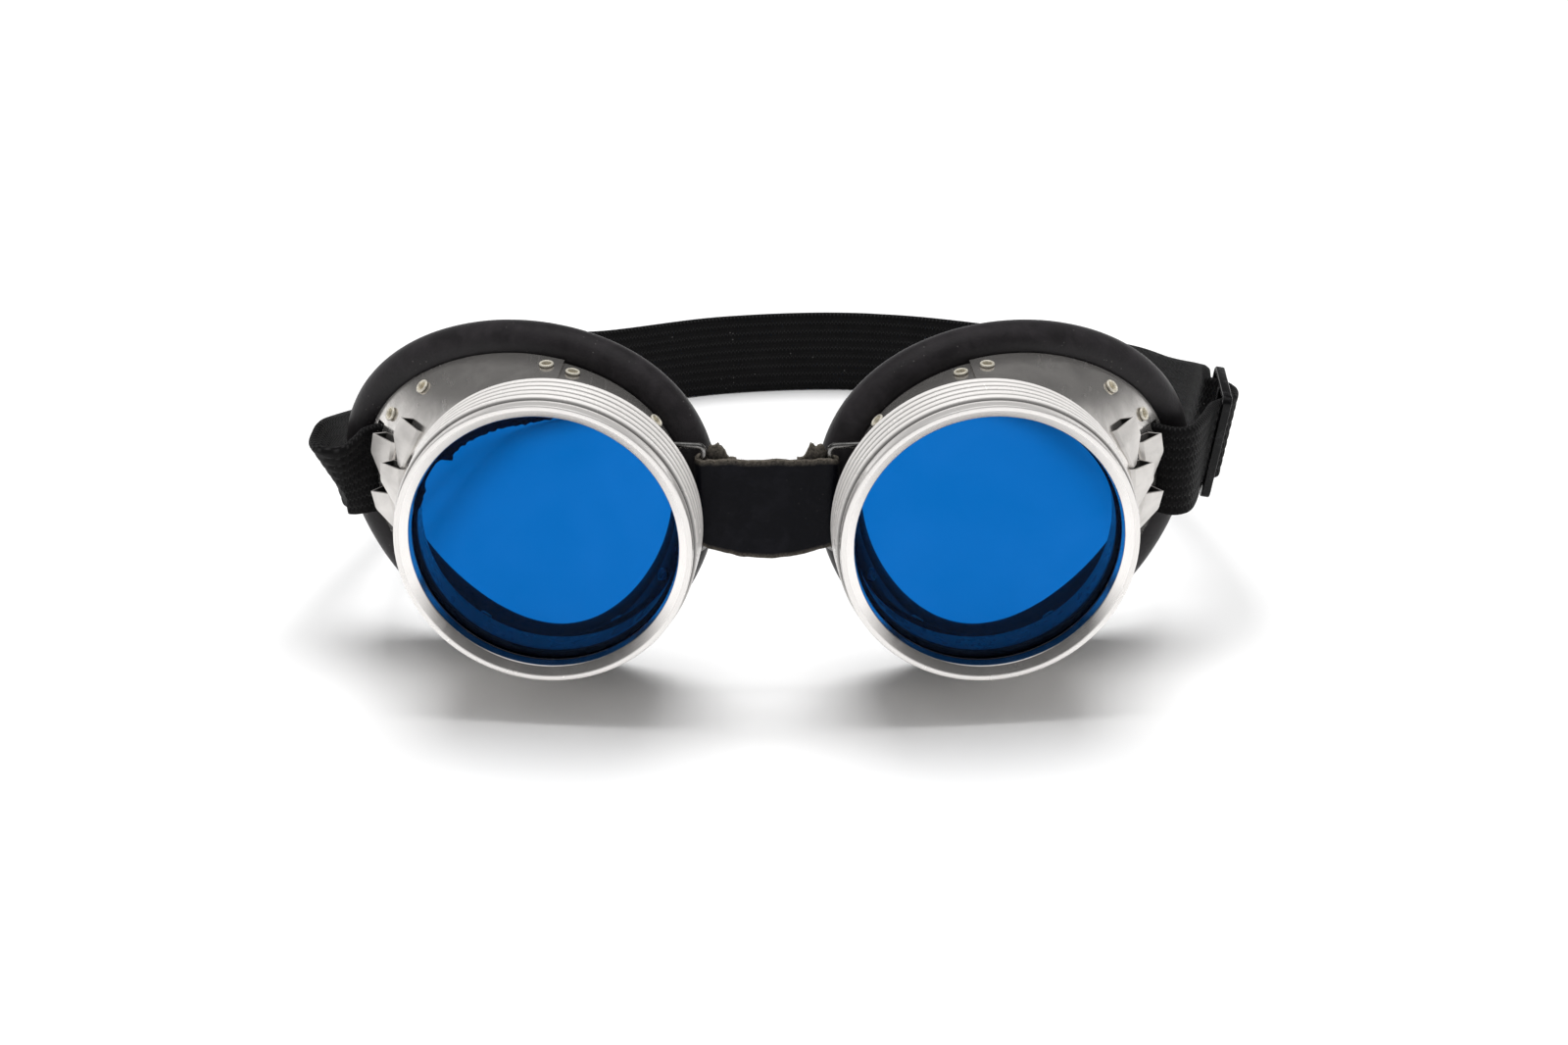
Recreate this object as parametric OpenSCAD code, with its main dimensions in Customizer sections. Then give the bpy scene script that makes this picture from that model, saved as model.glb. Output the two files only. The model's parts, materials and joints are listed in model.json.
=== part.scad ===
// Welding goggles: two sheet-metal eyecups with screw-on lens caps and rubber
// edging, joined by a leather nose bridge, with an elastic head strap and slider.
// Millimetres. The front faces -Y, Z is up and the goggles lie on z = 0.
// "Left" is the -X side, as seen from the front.

/* [Lens and cap] */
// Diameter of the round filter glass
lens_d = 50; // [46:1:53]
// Thickness of the filter glass
lens_t = 2.6; // [2:0.2:3.2]
// Width of the glass edge that the cap's lip covers
lip_cover = 0.4; // [0.3:0.1:1.2]
// Depth of the lip's inner edge behind the cap's front
lip_depth = 2.9; // [2:0.1:3.5]
// Depth of the bevel on the lip's face
lip_bevel = 1.1; // [0.8:0.1:1.6]
// Thickness of the lip in front of the glass
lip_t = 0.6; // [0.4:0.1:0.9]
// Length of the cap from its lip to its rear edge
cap_len = 13; // [12.5:0.25:14]
// Sheet thickness of the cap's skirt
cap_wall = 0.5; // [0.4:0.05:0.7]
// Pitch of the rolled thread
thread_pitch = 1.9; // [1.5:0.1:2.2]
// Height of the rolled thread ridges
ridge_h = 0.65; // [0.4:0.05:0.8]
// Thickness of the gasket behind the glass
gasket_t = 0.8; // [0.5:0.1:1.1]
// Width of the gasket ring
gasket_w = 1; // [0.8:0.1:1.6]

/* [Eyecup shell] */
// Distance between the two lens centres
lens_spacing = 81.5; // [80:0.5:90]
// Outward turn of each lens axis, in degrees
toe_out = 6; // [4:0.5:8]
// Sheet thickness of the shell
sheet_t = 0.6; // [0.5:0.05:0.7]
// Half width of the rear rim along its own plane
rim_half_w = 33.4; // [32.5:0.1:35]
// Half height of the rear rim
rim_half_h = 30.2; // [29:0.1:32]
// Shift of the rim outward from the lens axis
rim_out = 6.9; // [6:0.1:8]
// Drop of the rim below the lens axis
rim_drop = 2.4; // [1.5:0.1:3]
// Depth of the rim's middle behind the cap's lip
rim_depth = 30; // [29.5:0.1:32]
// Angle by which the rim wraps back towards the temple
rim_wrap = 15; // [12:0.5:17]
// Angle by which the top of the rim leans back
rim_lean = 5; // [3:0.5:7]
// Turn of the rim's shape about the lens axis
rim_roll = 9; // [6:0.5:11]
// How much wider the rim is at the brow than at the cheek
rim_egg = 0.18; // [0.1:0.01:0.2]

/* [Rubber edging] */
// Diameter of the round bead
bead_d = 8.4; // [7.4:0.1:9]
// Thickness of the flange inside the shell
flange_t = 1.2; // [0.8:0.1:1.4]
// Reach of the flange from the shell's rear edge
flange_len = 5.5; // [5:0.1:6]
// Depth of the flat that the goggles rest on
rest_flat = 0.8; // [0.4:0.1:1]

/* [Eyelets] */
// Bore of an eyelet
eyelet_bore_d = 1.6; // [1.4:0.1:1.8]
// Flange diameter of an eyelet
eyelet_flange_d = 3; // [2.9:0.1:3.4]
// Wall of an eyelet's barrel
eyelet_wall = 0.25; // [0.2:0.05:0.3]

/* [Louvres] */
// Length of a pressed louvre
louvre_len = 9; // [7:0.5:10]
// Width of a pressed louvre
louvre_w = 5.4; // [4:0.1:5.6]
// Height of a louvre's open mouth
louvre_h = 2.4; // [1.6:0.1:2.8]

/* [Nose bridge] */
// Thickness of the leather
leather_t = 1.2; // [1:0.1:1.4]
// Height of the leather at its ends
bridge_h = 16.6; // [14:0.2:18]
// Bow of the leather's lower edge
bridge_bow = 3.2; // [1.5:0.1:3.5]
// Height of the leather's middle above the lens axis
bridge_rise = 4.1; // [3:0.1:5]
// Length of the doubled leather behind each wire
bridge_lap = 6; // [4:0.5:7]
// Diameter of the wire loops
wire_d = 1.2; // [1:0.1:1.4]

/* [Head strap] */
// Width of the elastic strap
strap_w = 18; // [16:0.5:19]
// Thickness of the elastic strap
strap_t = 1.8; // [1.4:0.1:2]
// Depth of the strap's loop behind the lens centres
strap_reach = 161.5; // [150:0.5:175]
// Diameter of the rolled hem that stops each strap end
hem_d = 4.4; // [3.6:0.1:4.8]

/* [Slider] */
// Width of a slider bar
bar_w = 1.8; // [1.4:0.1:2.2]
// Thickness of the slider
slider_t = 1.8; // [1.4:0.1:2]
// Length of each slider window along the strap
window_len = 6; // [5.5:0.1:6.5]
// Angle by which the slider leans outward
slider_lean = 10; // [0:1:12]

/* [Hidden] */
$fn = 96;

// Clearances
thread_gap = 0.08;
seat_gap = 0.05;
spigot_gap = 0.1;
shell_gap = 1.25;
edge_gap = 0.4;
flange_gap = 0.2;
eyelet_gap = 0.06;
wire_gap = 0.05;
slot_gap = 0.4;
strap_gap = 0.3;
loop_gap = 0.3;
bead_clear = 0.5;

// Lens, cap and ring
lens_r = lens_d / 2;
aperture_r = lens_r - lip_cover;
ring_side = 1.8;
ring_r = lens_r + ring_side;
cap_bore_r = ring_r + thread_gap;
skirt_r = cap_bore_r + cap_wall;
ridge_r = skirt_r + ridge_h;
lip_flare = -0.53;
lip_round = 0.7;
bezel_r = ridge_r + lip_flare;
lens_front = -(lip_depth + lip_t + seat_gap);
gasket_front = lens_front - lens_t - seat_gap;
ring_front = gasket_front - gasket_t - seat_gap;
ring_wall = 2.4;
ring_flange_t = 0.9;
thread_groove = 0.35;

// Shell: its front edge, the straight band behind it and the rear edge
front_lap = 0.4;
front_z = -(cap_len - front_lap);
band_len = 1.8;
band_z = front_z - band_len;
band_r = cap_bore_r - shell_gap - sheet_t / 2;
edge_in = 1.2;
bead_r = bead_d / 2;
steps = 60;
step = 360 / steps;

// Places around the rim, as angles of the rim's curve
rim_eyelet_at = [43, 61, 144, 206, 235, 304];
lap_eyelet_at = 104;
seam_eyelet_at = 112;
lap_from = 97;
lap_to = 108.5;
slot_at = 16;
louvre_at = [[25, 0], [1, 0], [41, 1], [17, 1]];
eyelet_inset = 3.9;
eyelet_share = 0.36;
eyelet_off_bead = -0.2;
slot_inset = 3.5;
louvre_inset = 8.7;
louvre_pitch = 5.7;

// The wire loops at the nose, in eyecup coordinates
wire_r = wire_d / 2;
loop_bore_r = wire_r + wire_gap;
loop_r = loop_bore_r + leather_t;
wire_back = 2.2;
wire_z = -(cap_len + wire_back);
wire_over = 2;
wire_in = 2;
wire_hole_in = 3.2;

hem_r = hem_d / 2;
hem_back = 2.1;
hem_in = hem_r + hem_back;
hem_front = 1.3;

function unit(v) = v / norm(v);
function mix(p, q, t) = p + (q - p) * t;

// Centre line of the bead, in eyecup coordinates: x outward, y up, z forward
function rim(a) =
    let (
        x = rim_half_w * cos(a) * (1 + rim_egg * sin(a)),
        y = rim_half_h * sin(a),
        w = rim_out + x * cos(rim_wrap),
        v = y * cos(rim_lean) - rim_drop
    )
    [w * cos(rim_roll) + v * sin(rim_roll),
     v * cos(rim_roll) - w * sin(rim_roll),
     -rim_depth - x * sin(rim_wrap) - y * sin(rim_lean)];

// Outward direction of the rim, square to the lens axis
function rim_out_dir(a) =
    let (d = rim(a + 1) - rim(a - 1))
    unit([d.y, -d.x, 0]);

// Rear edge of the sheet, the band point it runs to and the ruling between them
function edge(a) = rim(a) - edge_in * rim_out_dir(a) + [0, 0, bead_r + edge_gap];
function radial(a) = let (e = edge(a)) unit([e.x, e.y, 0]);
function band(a) = band_r * radial(a) + [0, 0, band_z];
function ruling(a) = unit(band(a) - edge(a));
function reach(a) = norm(band(a) - edge(a));

// Middle of the sheet at a distance from the rear edge, and its directions
function sheet(a, inset) = edge(a) + inset * ruling(a);
function sheet_side(a, inset) = unit(mix(rim_out_dir(a), radial(a), inset / reach(a)));
function sheet_normal(a, inset) =
    unit(cross(sheet(a + 1, inset) - sheet(a - 1, inset), ruling(a)));

// Eyelets stand a set distance from the rear edge, or less where the sheet is short
function eyelet_in(a) =
    let (r = eyelet_flange_d / 2)
    max(r + eyelet_off_bead, min(eyelet_inset, eyelet_share * reach(a)));

// The wire's bar stands clear of the sheet and of the bead at the nose
nose = rim(180);
nose_reach = bead_r + loop_r + bead_clear;
nose_side = sqrt(max(0, pow(nose_reach, 2) - pow(wire_z - nose.z, 2)));
wire_x = min(-(band_r + sheet_t / 2 + loop_gap + loop_r), nose.x - nose_side);

// Lowest point of the bead gives the height of the lens axis
lens_h = bead_r - rest_flat - min([for (i = [0:359]) rim(i).y]);

// The strap's slot, upright, the direction in which the strap leaves it, and the
// hem inside, which lies a little further forward
slot_p = sheet(slot_at, slot_inset);
slot_dir = unit([ruling(slot_at).z, 0, -ruling(slot_at).x]);
slot_front = unit([ruling(slot_at).x, 0, ruling(slot_at).z]);
hem_p = slot_p - hem_in * slot_dir + hem_front * slot_front;

// From eyecup coordinates on the +X side to the goggles' own frame
function from_cup(p) =
    [lens_spacing / 2 + p.x * cos(toe_out) + p.z * sin(toe_out),
     p.x * sin(toe_out) - p.z * cos(toe_out),
     lens_h + p.y];
function dir_from_cup(d) = from_cup(d) - from_cup([0, 0, 0]);

slot_c = from_cup(slot_p);
hem_c = from_cup(hem_p);
slot_out = dir_from_cup(slot_dir);
wire_c = from_cup([wire_x, bridge_rise, wire_z]);

// The slider's middle and the strap's offset where it passes the bars
weave = slider_t / 2 + strap_gap + strap_t / 2;
slider_off = [12, 17.6, 0];
slider_c = slot_c + slider_off;
slider_len = 3 * bar_w + 2 * window_len;
slider_slack = 0.5;
slider_rim = 1.2;
window_h = strap_w + 2 * slider_slack;
slider_h = window_h + 2 * slider_rim;
window_mid = (bar_w + window_len) / 2;

// Points of the strap: x, y, z of its middle and its lean outward in degrees.
// Each side starts at the slot; the back is measured from the loop's depth.
strap_rest = strap_w / 2;
function left(p) = [-p.x, p.y, p.z];
function at_slot(d) = slot_c + slot_out * d;
function knot(p, lean) = [p.x, p.y, p.z, lean];
function woven(t, n) =
    knot(slider_c + [n * weave, t, 0], slider_lean);

left_side = [
    knot(left(hem_c), 0),
    knot(left(at_slot(-1)), 0),
    knot(left(at_slot(2.4)), 4),
    knot(left(slot_c + [4.5, -2, -0.9]), 16),
    knot(left(slot_c + [6.6, -2.1, -1.6]), 27),
    knot(left(slot_c + [7.8, 0.1, -1.8]), 29),
    knot(left(slot_c + [8.6, 3.8, -2]), 22),
    knot(left(slot_c + [8.9, 7.6, -2.2]), 14),
    knot(left(slot_c + [7.9, 14, -4]), 9),
    knot(left(slot_c + [5.1, 28, -8.4]), 5),
    knot(left(slot_c + [-0.7, 50, -15]), 1)];
back = [
    [-58, strap_reach - 27, 14, 0],
    [-35, strap_reach - 11, strap_rest + 0.6, 0],
    [-8, strap_reach - 1, strap_rest, 0],
    [25, strap_reach, strap_rest, 0],
    [56, strap_reach - 13, strap_rest + 1.6, 0]];
right_side = [
    knot(slot_c + [0.1, 80, -16], 1),
    knot(slot_c + [6.5, 54, -8.4], 3),
    knot(slot_c + [9.5, 38, -3], 7),
    woven(window_mid * 3, -1),
    woven(window_mid * 1.55, -1),
    woven(window_mid, 0),
    woven(window_mid * 0.45, 1),
    woven(-window_mid * 0.45, 1),
    woven(-window_mid, 0),
    woven(-window_mid * 1.55, -1),
    knot(slot_c + [8.4, 5.6, 0], 5),
    knot(slot_c + [6, -0.2, 0], 2),
    knot(at_slot(3.2), 0),
    knot(at_slot(-1), 0),
    knot(hem_c, 0)];
knots = concat(left_side, back, right_side);

// A smooth curve through the knots
strap_cuts = 4;
function between(p, q, r, s, t) =
    0.5 * (2 * q + (r - p) * t + (2 * p - 5 * q + 4 * r - s) * t * t
        + (3 * q - p - 3 * r + s) * t * t * t);
last = len(knots) - 1;
course = concat(
    [for (i = [0:last - 1], k = [0:strap_cuts - 1])
        between(knots[max(i - 1, 0)], knots[i], knots[i + 1],
            knots[min(i + 2, last)], k / strap_cuts)],
    [knots[last]]);

// Corners of the strap's section at each cut
function strap_ring(i) =
    let (
        p = course[i],
        d = course[min(i + 1, len(course) - 1)] - course[max(i - 1, 0)],
        out = unit([-d.y, d.x, 0]),
        up = [0, 0, 1] * cos(p[3]) + out * sin(p[3]),
        face = unit(cross(unit([d.x, d.y, d.z]), up)),
        c = [p.x, p.y, max(p.z, strap_rest)]
    )
    [for (s = [[-1, -1], [1, -1], [1, 1], [-1, 1]])
        c + face * s.x * strap_t / 2 + up * s.y * strap_w / 2];
strap_rings = [for (i = [0:len(course) - 1]) strap_ring(i)];

// The box of the goggles gives the origin: its middle, on the table
strap_points = [for (r = strap_rings, p = r) p];
box_left = min([for (p = strap_points) p.x]);
box_right = max([for (p = strap_points) p.x]);
box_back = max([for (p = strap_points) p.y]);
box_front = -(bezel_r - lip_round) * sin(toe_out);
origin = [-(box_left + box_right) / 2, -(box_front + box_back) / 2, 0];

// Faces between closed rings of points; ends are capped unless the rings close
function skin(n, m, closed) =
    let (turns = closed ? n : n - 1)
    concat(
        [for (i = [0:turns - 1], k = [0:m - 1])
            [i * m + k, i * m + (k + 1) % m, ((i + 1) % n) * m + (k + 1) % m]],
        [for (i = [0:turns - 1], k = [0:m - 1])
            [i * m + k, ((i + 1) % n) * m + (k + 1) % m, ((i + 1) % n) * m + k]],
        closed ? [] : [[for (k = [m - 1:-1:0]) k],
            [for (k = [0:m - 1]) (n - 1) * m + k]]);

module swept(rings, closed) {
    m = len(rings[0]);
    polyhedron([for (r = rings, p = r) p], skin(len(rings), m, closed), convexity = 10);
}

// Children drawn at p with their x, y and z axes along ex, ey and ez
module framed(p, ex, ey, ez) {
    multmatrix([
        [ex.x, ey.x, ez.x, p.x],
        [ex.y, ey.y, ez.y, p.y],
        [ex.z, ey.z, ez.z, p.z],
        [0, 0, 0, 1]])
        children();
}

// Children drawn in eyecup coordinates on one side: 1 is +X, -1 is -X
module in_cup(side) {
    translate(origin)
        mirror([side < 0 ? 1 : 0, 0, 0])
            translate([lens_spacing / 2, 0, lens_h])
                rotate([0, 0, toe_out])
                    rotate([90, 0, 0])
                        children();
}

// Children drawn at an eyelet's place, with z outward and x forward along the sheet
module on_eyelet(a) {
    n = sheet_normal(a, eyelet_in(a));
    r = ruling(a);
    framed(sheet(a, eyelet_in(a)), r, cross(n, r), n)
        children();
}

module ring_between(r_in, r_out, z_low, z_high) {
    translate([0, 0, z_low])
        difference() {
            cylinder(r = r_out, h = z_high - z_low);
            translate([0, 0, -1])
                cylinder(r = r_in, h = z_high - z_low + 2);
        }
}

// Filter glass
module lens(side) {
    color("royalblue", 0.6)
        in_cup(side)
            translate([0, 0, lens_front - lens_t])
                cylinder(r = lens_r, h = lens_t);
}

// Gasket between the glass and the threaded ring
module gasket(side) {
    color("dimgray")
        in_cup(side)
            ring_between(lens_r - gasket_w, lens_r, gasket_front - gasket_t, gasket_front);
}

// Rolled ridges of a thread on the outside, from z down, as profile points
function ridges(z, count, low, high) =
    [for (i = [0:count - 1], q = [[low, 0], [high, 0.3], [high, 0.62], [low, 0.92]])
        [q.x, z - (i + q.y) * thread_pitch]];

// Screw cap with a bevelled lip, pressed hollow, a neck and a rolled skirt
lip_back = 2.1;
lip_crest = 0.9;
lip_step = 0.25;
lip_wall = 0.7;
lip_web = 0.5;
neck_in = 0.55;
neck_len = 0.75;
skirt_top = lip_back + neck_len;
skirt_rim = 0.5;
cap_ridges = floor((cap_len - skirt_top - skirt_rim) / thread_pitch);
module cap(side) {
    color("silver")
        in_cup(side)
            rotate_extrude()
                polygon(concat(
                    [[aperture_r, -lip_depth - lip_t], [aperture_r, -lip_depth],
                     [aperture_r + lip_step, -lip_bevel],
                     [bezel_r - lip_crest, 0], [bezel_r - lip_round, 0],
                     [bezel_r, -lip_round], [bezel_r, -lip_back],
                     [bezel_r - neck_in, -lip_back - neck_len / 2]],
                    ridges(-skirt_top, cap_ridges, skirt_r, ridge_r),
                    [[skirt_r, -cap_len], [cap_bore_r, -cap_len],
                     [cap_bore_r, -lip_depth - lip_t],
                     [cap_bore_r - lip_web, -lip_depth - lip_t],
                     [cap_bore_r - lip_web, -lip_bevel / 2 - lip_wall],
                     [aperture_r + lip_step + lip_wall, -lip_bevel - lip_wall],
                     [aperture_r + lip_wall, -lip_depth - lip_t]]));
}

// Threaded ring that carries the cap, with a spigot inside the shell
ring_ridges = floor((ring_front - front_z - skirt_rim) / thread_pitch);
spigot_r = (band_r - sheet_t / 2) * cos(step / 2) - spigot_gap;
spigot_len = 0.8;
module ring(side) {
    color("gray")
        in_cup(side)
            rotate_extrude()
                polygon(concat(
                    [[lens_r - gasket_w, ring_front - ring_flange_t],
                     [lens_r - gasket_w, ring_front], [ring_r - thread_groove, ring_front]],
                    ridges(ring_front, ring_ridges, ring_r - thread_groove, ring_r),
                    [[ring_r - thread_groove, front_z + seat_gap],
                     [spigot_r, front_z + seat_gap], [spigot_r, front_z - spigot_len],
                     [ring_r - ring_wall, front_z - spigot_len],
                     [ring_r - ring_wall, ring_front - ring_flange_t]]));
}

// Sheet of the shell: at each angle a closed section from front to rear edge
function sheet_section(a) =
    let (
        h = sheet_t / 2,
        n0 = radial(a),
        n1 = sheet_side(a, 0),
        f = band_r * n0 + [0, 0, front_z],
        b = band(a),
        e = edge(a)
    )
    [f + h * n0, b + h * n0, mix(b + h * n0, e + h * n1, 0.5), e + h * n1,
     e - h * n1, mix(b - h * n0, e - h * n1, 0.5), b - h * n0, f - h * n0];

// The lap at the top: a second layer of sheet, sunk a little into the first
lap_sunk = 0.1;
lap_cuts = 4;
lap_short = 0.3;
lap_high = 1.5 * sheet_t;
function lap_section(a) =
    let (
        low = sheet_t / 2 - lap_sunk,
        high = lap_high,
        p = sheet(a, 0),
        q = sheet(a, reach(a) - lap_short),
        n = sheet_side(a, 0)
    )
    [p + high * n, p + low * n, q + low * n, q + high * n];

// A pressed louvre: a hood that rises to its open upper end
module wedge(len, w_low, w_high, x_low, x_high) {
    polyhedron(
        [[x_low, -len / 2, -w_low / 2], [x_low, -len / 2, w_low / 2],
         [x_low, len / 2, w_low / 2], [x_low, len / 2, -w_low / 2],
         [x_high, len / 2, -w_high / 2], [x_high, len / 2, w_high / 2]],
        [[3, 2, 1, 0], [4, 5, 2, 3], [1, 5, 4, 0], [4, 3, 0], [2, 5, 1]]);
}

module at_louvre(q) {
    inset = louvre_inset + q[1] * louvre_pitch;
    n = sheet_normal(q[0], inset);
    r = ruling(q[0]);
    framed(sheet(q[0], inset), n, cross(r, n), r)
        children();
}

louvre_taper = 0.75;
mouth_past = 0.6;
heel = 1.6;
hood_sunk = 0.3;
void_deep = 1.4;
module louvre_hood() {
    wedge(louvre_len, louvre_w, louvre_w * louvre_taper, -hood_sunk, louvre_h);
}
module louvre_void() {
    w = louvre_w - 2 * sheet_t;
    translate([0, (heel + mouth_past) / 2, 0])
        wedge(louvre_len - heel + mouth_past, w, w * louvre_taper,
            -void_deep, louvre_h - sheet_t);
}

// Sheet-metal shell with its lap, louvres, strap slot and holes
module shell(side) {
    color("lightsteelblue")
        in_cup(side)
            difference() {
                union() {
                    swept([for (i = [0:steps - 1]) sheet_section(-i * step)], true);
                    swept([for (k = [0:lap_cuts])
                        lap_section(mix(lap_to, lap_from, k / lap_cuts))], false);
                    for (q = louvre_at) at_louvre(q) louvre_hood();
                }
                for (q = louvre_at) at_louvre(q) louvre_void();
                eyelet_holes();
                strap_slot();
                wire_legs(loop_bore_r, wire_hole_in);
            }
}

// Room for the strap in the shell, and a notch for it and its hem in the rubber
slot_h = strap_w + 2 * slot_gap;
module at_slot_frame() {
    framed(slot_p, slot_dir, [0, 1, 0], slot_front)
        children();
}
module strap_slot() {
    at_slot_frame()
        cube([2 * hem_d, slot_h, strap_t + 2 * slot_gap], center = true);
}
module strap_notch() {
    behind = max(strap_t / 2, hem_r - hem_front) + slot_gap;
    at_slot_frame()
        translate([-2 * hem_in, -slot_h / 2, -behind])
            cube([3 * hem_in, slot_h, behind + hem_d]);
}

// Rubber edging: a round bead with a flange that lies inside the shell
flange_root = edge_in + sheet_t / 2 + flange_gap;
flange_a0 = 180 - asin(sqrt(1 - pow(flange_root / bead_r, 2)));
flange_a1 = 180 - asin(sqrt(1 - pow((flange_root + flange_t) / bead_r, 2)));
bead_cuts = 12;
function edging_section(a) =
    let (
        c = rim(a),
        n = rim_out_dir(a),
        root = edge(a),
        f = min(flange_len, reach(a)),
        tip = sheet(a, f),
        side = sheet_side(a, f),
        s = sheet_t / 2 + flange_gap
    )
    concat(
        [for (k = [0:bead_cuts])
            let (g = flange_a0 - k * (360 - flange_a1 + flange_a0) / bead_cuts)
            c + bead_r * (cos(g) * n + [0, 0, sin(g)])],
        [root - (s + flange_t) * n, tip - (s + flange_t) * side,
         tip - s * side, root - s * n]);

module edging(side) {
    color([0.12, 0.12, 0.13])
        in_cup(side)
            difference() {
                swept([for (i = [0:steps - 1]) edging_section(-i * step)], true);
                eyelet_holes();
                wire_legs(loop_bore_r, wire_hole_in);
                strap_notch();
                translate([-bead_d * 6, -lens_h - bead_d, -rim_depth * 2])
                    cube([bead_d * 12, bead_d, rim_depth * 2]);
            }
}

// Tubular eyelets: a rolled flange outside, a barrel and a rolled end inside
eyelet_r = eyelet_bore_d / 2 + eyelet_wall;
flange_high = 0.5;
flange_soft = 0.12;
rolled_in = 0.15;
hole_reach = 6;
module eyelet_holes() {
    for (a = concat(rim_eyelet_at, [lap_eyelet_at, seam_eyelet_at]))
        on_eyelet(a)
            cylinder(r = eyelet_r + eyelet_gap, h = hole_reach, center = true);
}
module eyelet(high, low) {
    r0 = eyelet_bore_d / 2;
    r1 = eyelet_flange_d / 2;
    r2 = r1 - rolled_in;
    rotate_extrude($fn = 32)
        polygon([
            [r0, low - flange_high + flange_soft], [r0 + flange_soft, low - flange_high],
            [r2 - flange_soft, low - flange_high], [r2, low], [eyelet_r, low],
            [eyelet_r, high], [r1, high], [r1 - flange_soft, high + flange_high],
            [r0 + flange_soft, high + flange_high], [r0, high + flange_high - flange_soft]]);
}

// The flanges sit clear of the curved sheet and of the rubber behind it
eyelet_seat = 0.12;
eyelet_high = sheet_t / 2 + eyelet_seat;
eyelet_low = -sheet_t / 2 - flange_gap - flange_t - eyelet_seat * 2;
module rim_eyelets(side) {
    color("tan")
        in_cup(side)
            for (a = rim_eyelet_at)
                on_eyelet(a)
                    eyelet(eyelet_high, eyelet_low);
}

// The two eyelets at the lap: the first holds both layers of sheet
module seam_eyelets(side) {
    color("tan")
        in_cup(side) {
            on_eyelet(lap_eyelet_at)
                eyelet(lap_high + eyelet_seat, eyelet_low);
            on_eyelet(seam_eyelet_at)
                eyelet(eyelet_high, eyelet_low);
        }
}

// Wire loop at the nose side, its legs set into holes in the shell
wire_half = bridge_h / 2 + wire_over;
module wire_legs(r, inside) {
    for (s = [-1, 1]) {
        y = bridge_rise + s * wire_half;
        end_x = -sqrt(pow(band_r - inside, 2) - y * y);
        translate([wire_x, y, wire_z])
            rotate([0, 90, 0])
                cylinder(r = r, h = end_x - wire_x, $fn = 32);
    }
}
module wire(side) {
    color("gainsboro")
        in_cup(side) {
            translate([wire_x, bridge_rise - wire_half, wire_z])
                rotate([-90, 0, 0])
                    cylinder(r = wire_r, h = 2 * wire_half, $fn = 32);
            wire_legs(wire_r, wire_in);
            for (s = [-1, 1])
                translate([wire_x, bridge_rise + s * wire_half, wire_z])
                    sphere(r = wire_r, $fn = 32);
        }
}

// Leather nose bridge, folded round both wires, with a bowed lower edge
module bridge() {
    low = wire_c.z - bridge_h / 2 - bridge_bow;
    half = wire_c.x + loop_r;
    bow_r = (half * half + bridge_bow * bridge_bow) / (2 * bridge_bow);
    color([0.1, 0.1, 0.13])
        translate(origin)
            intersection() {
                translate([0, 0, low])
                    linear_extrude(bridge_h + bridge_bow)
                        bridge_plan();
                translate([0, wire_c.y, low + bow_r])
                    rotate([90, 0, 0])
                        cylinder(r = bow_r, h = 4 * loop_r, center = true, $fn = 180);
            }
}
module bridge_plan() {
    difference() {
        union() {
            translate([-wire_c.x, wire_c.y - loop_r])
                square([2 * wire_c.x, leather_t]);
            for (s = [-1, 1]) {
                translate([s * wire_c.x, wire_c.y])
                    circle(r = loop_r);
                translate([s * (wire_c.x - bridge_lap / 2) - bridge_lap / 2, wire_c.y - loop_r])
                    square([bridge_lap, 2 * leather_t]);
            }
        }
        for (s = [-1, 1])
            translate([s * wire_c.x, wire_c.y])
                circle(r = loop_bore_r);
    }
}

// Elastic head strap, from one slot round the back to the other
module strap() {
    color([0.08, 0.08, 0.08])
        translate(origin) {
            swept(strap_rings, false);
            for (s = [-1, 1])
                translate([s * hem_c.x, hem_c.y, hem_c.z - strap_w / 2])
                    cylinder(r = hem_r, h = strap_w, $fn = 32);
        }
}

// Three-bar slider with round corners, on the strap's right side
slider_corner = 1.6;
module slider() {
    color([0.15, 0.15, 0.16])
        translate(origin + slider_c)
            rotate([0, 90 + slider_lean, 0])
                linear_extrude(slider_t, center = true)
                    difference() {
                        slider_outline();
                        for (s = [-1, 1])
                            translate([0, s * window_mid])
                                square([window_h, window_len], center = true);
                    }
}
module slider_outline() {
    x = slider_h / 2 - slider_corner;
    y = slider_len / 2 - slider_corner;
    square([slider_h, 2 * y], center = true);
    square([2 * x, slider_len], center = true);
    for (i = [-1, 1], k = [-1, 1])
        translate([i * x, k * y])
            circle(r = slider_corner, $fn = 32);
}

shell(-1);  // left_shell
shell(1);  // right_shell
ring(-1);  // left_ring
ring(1);  // right_ring
cap(-1);  // left_cap
cap(1);  // right_cap
lens(-1);  // left_lens
lens(1);  // right_lens
gasket(-1);  // left_gasket
gasket(1);  // right_gasket
edging(-1);  // left_edging
edging(1);  // right_edging
rim_eyelets(-1);  // left_rim_eyelets
rim_eyelets(1);  // right_rim_eyelets
seam_eyelets(-1);  // left_seam_eyelets
seam_eyelets(1);  // right_seam_eyelets
wire(-1);  // left_wire
wire(1);  // right_wire
bridge();
strap();
slider();
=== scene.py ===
import json
import math

import bpy
import numpy as np
from bpy.props import FloatProperty, FloatVectorProperty, IntProperty, PointerProperty
from mathutils import Matrix, Vector


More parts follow.
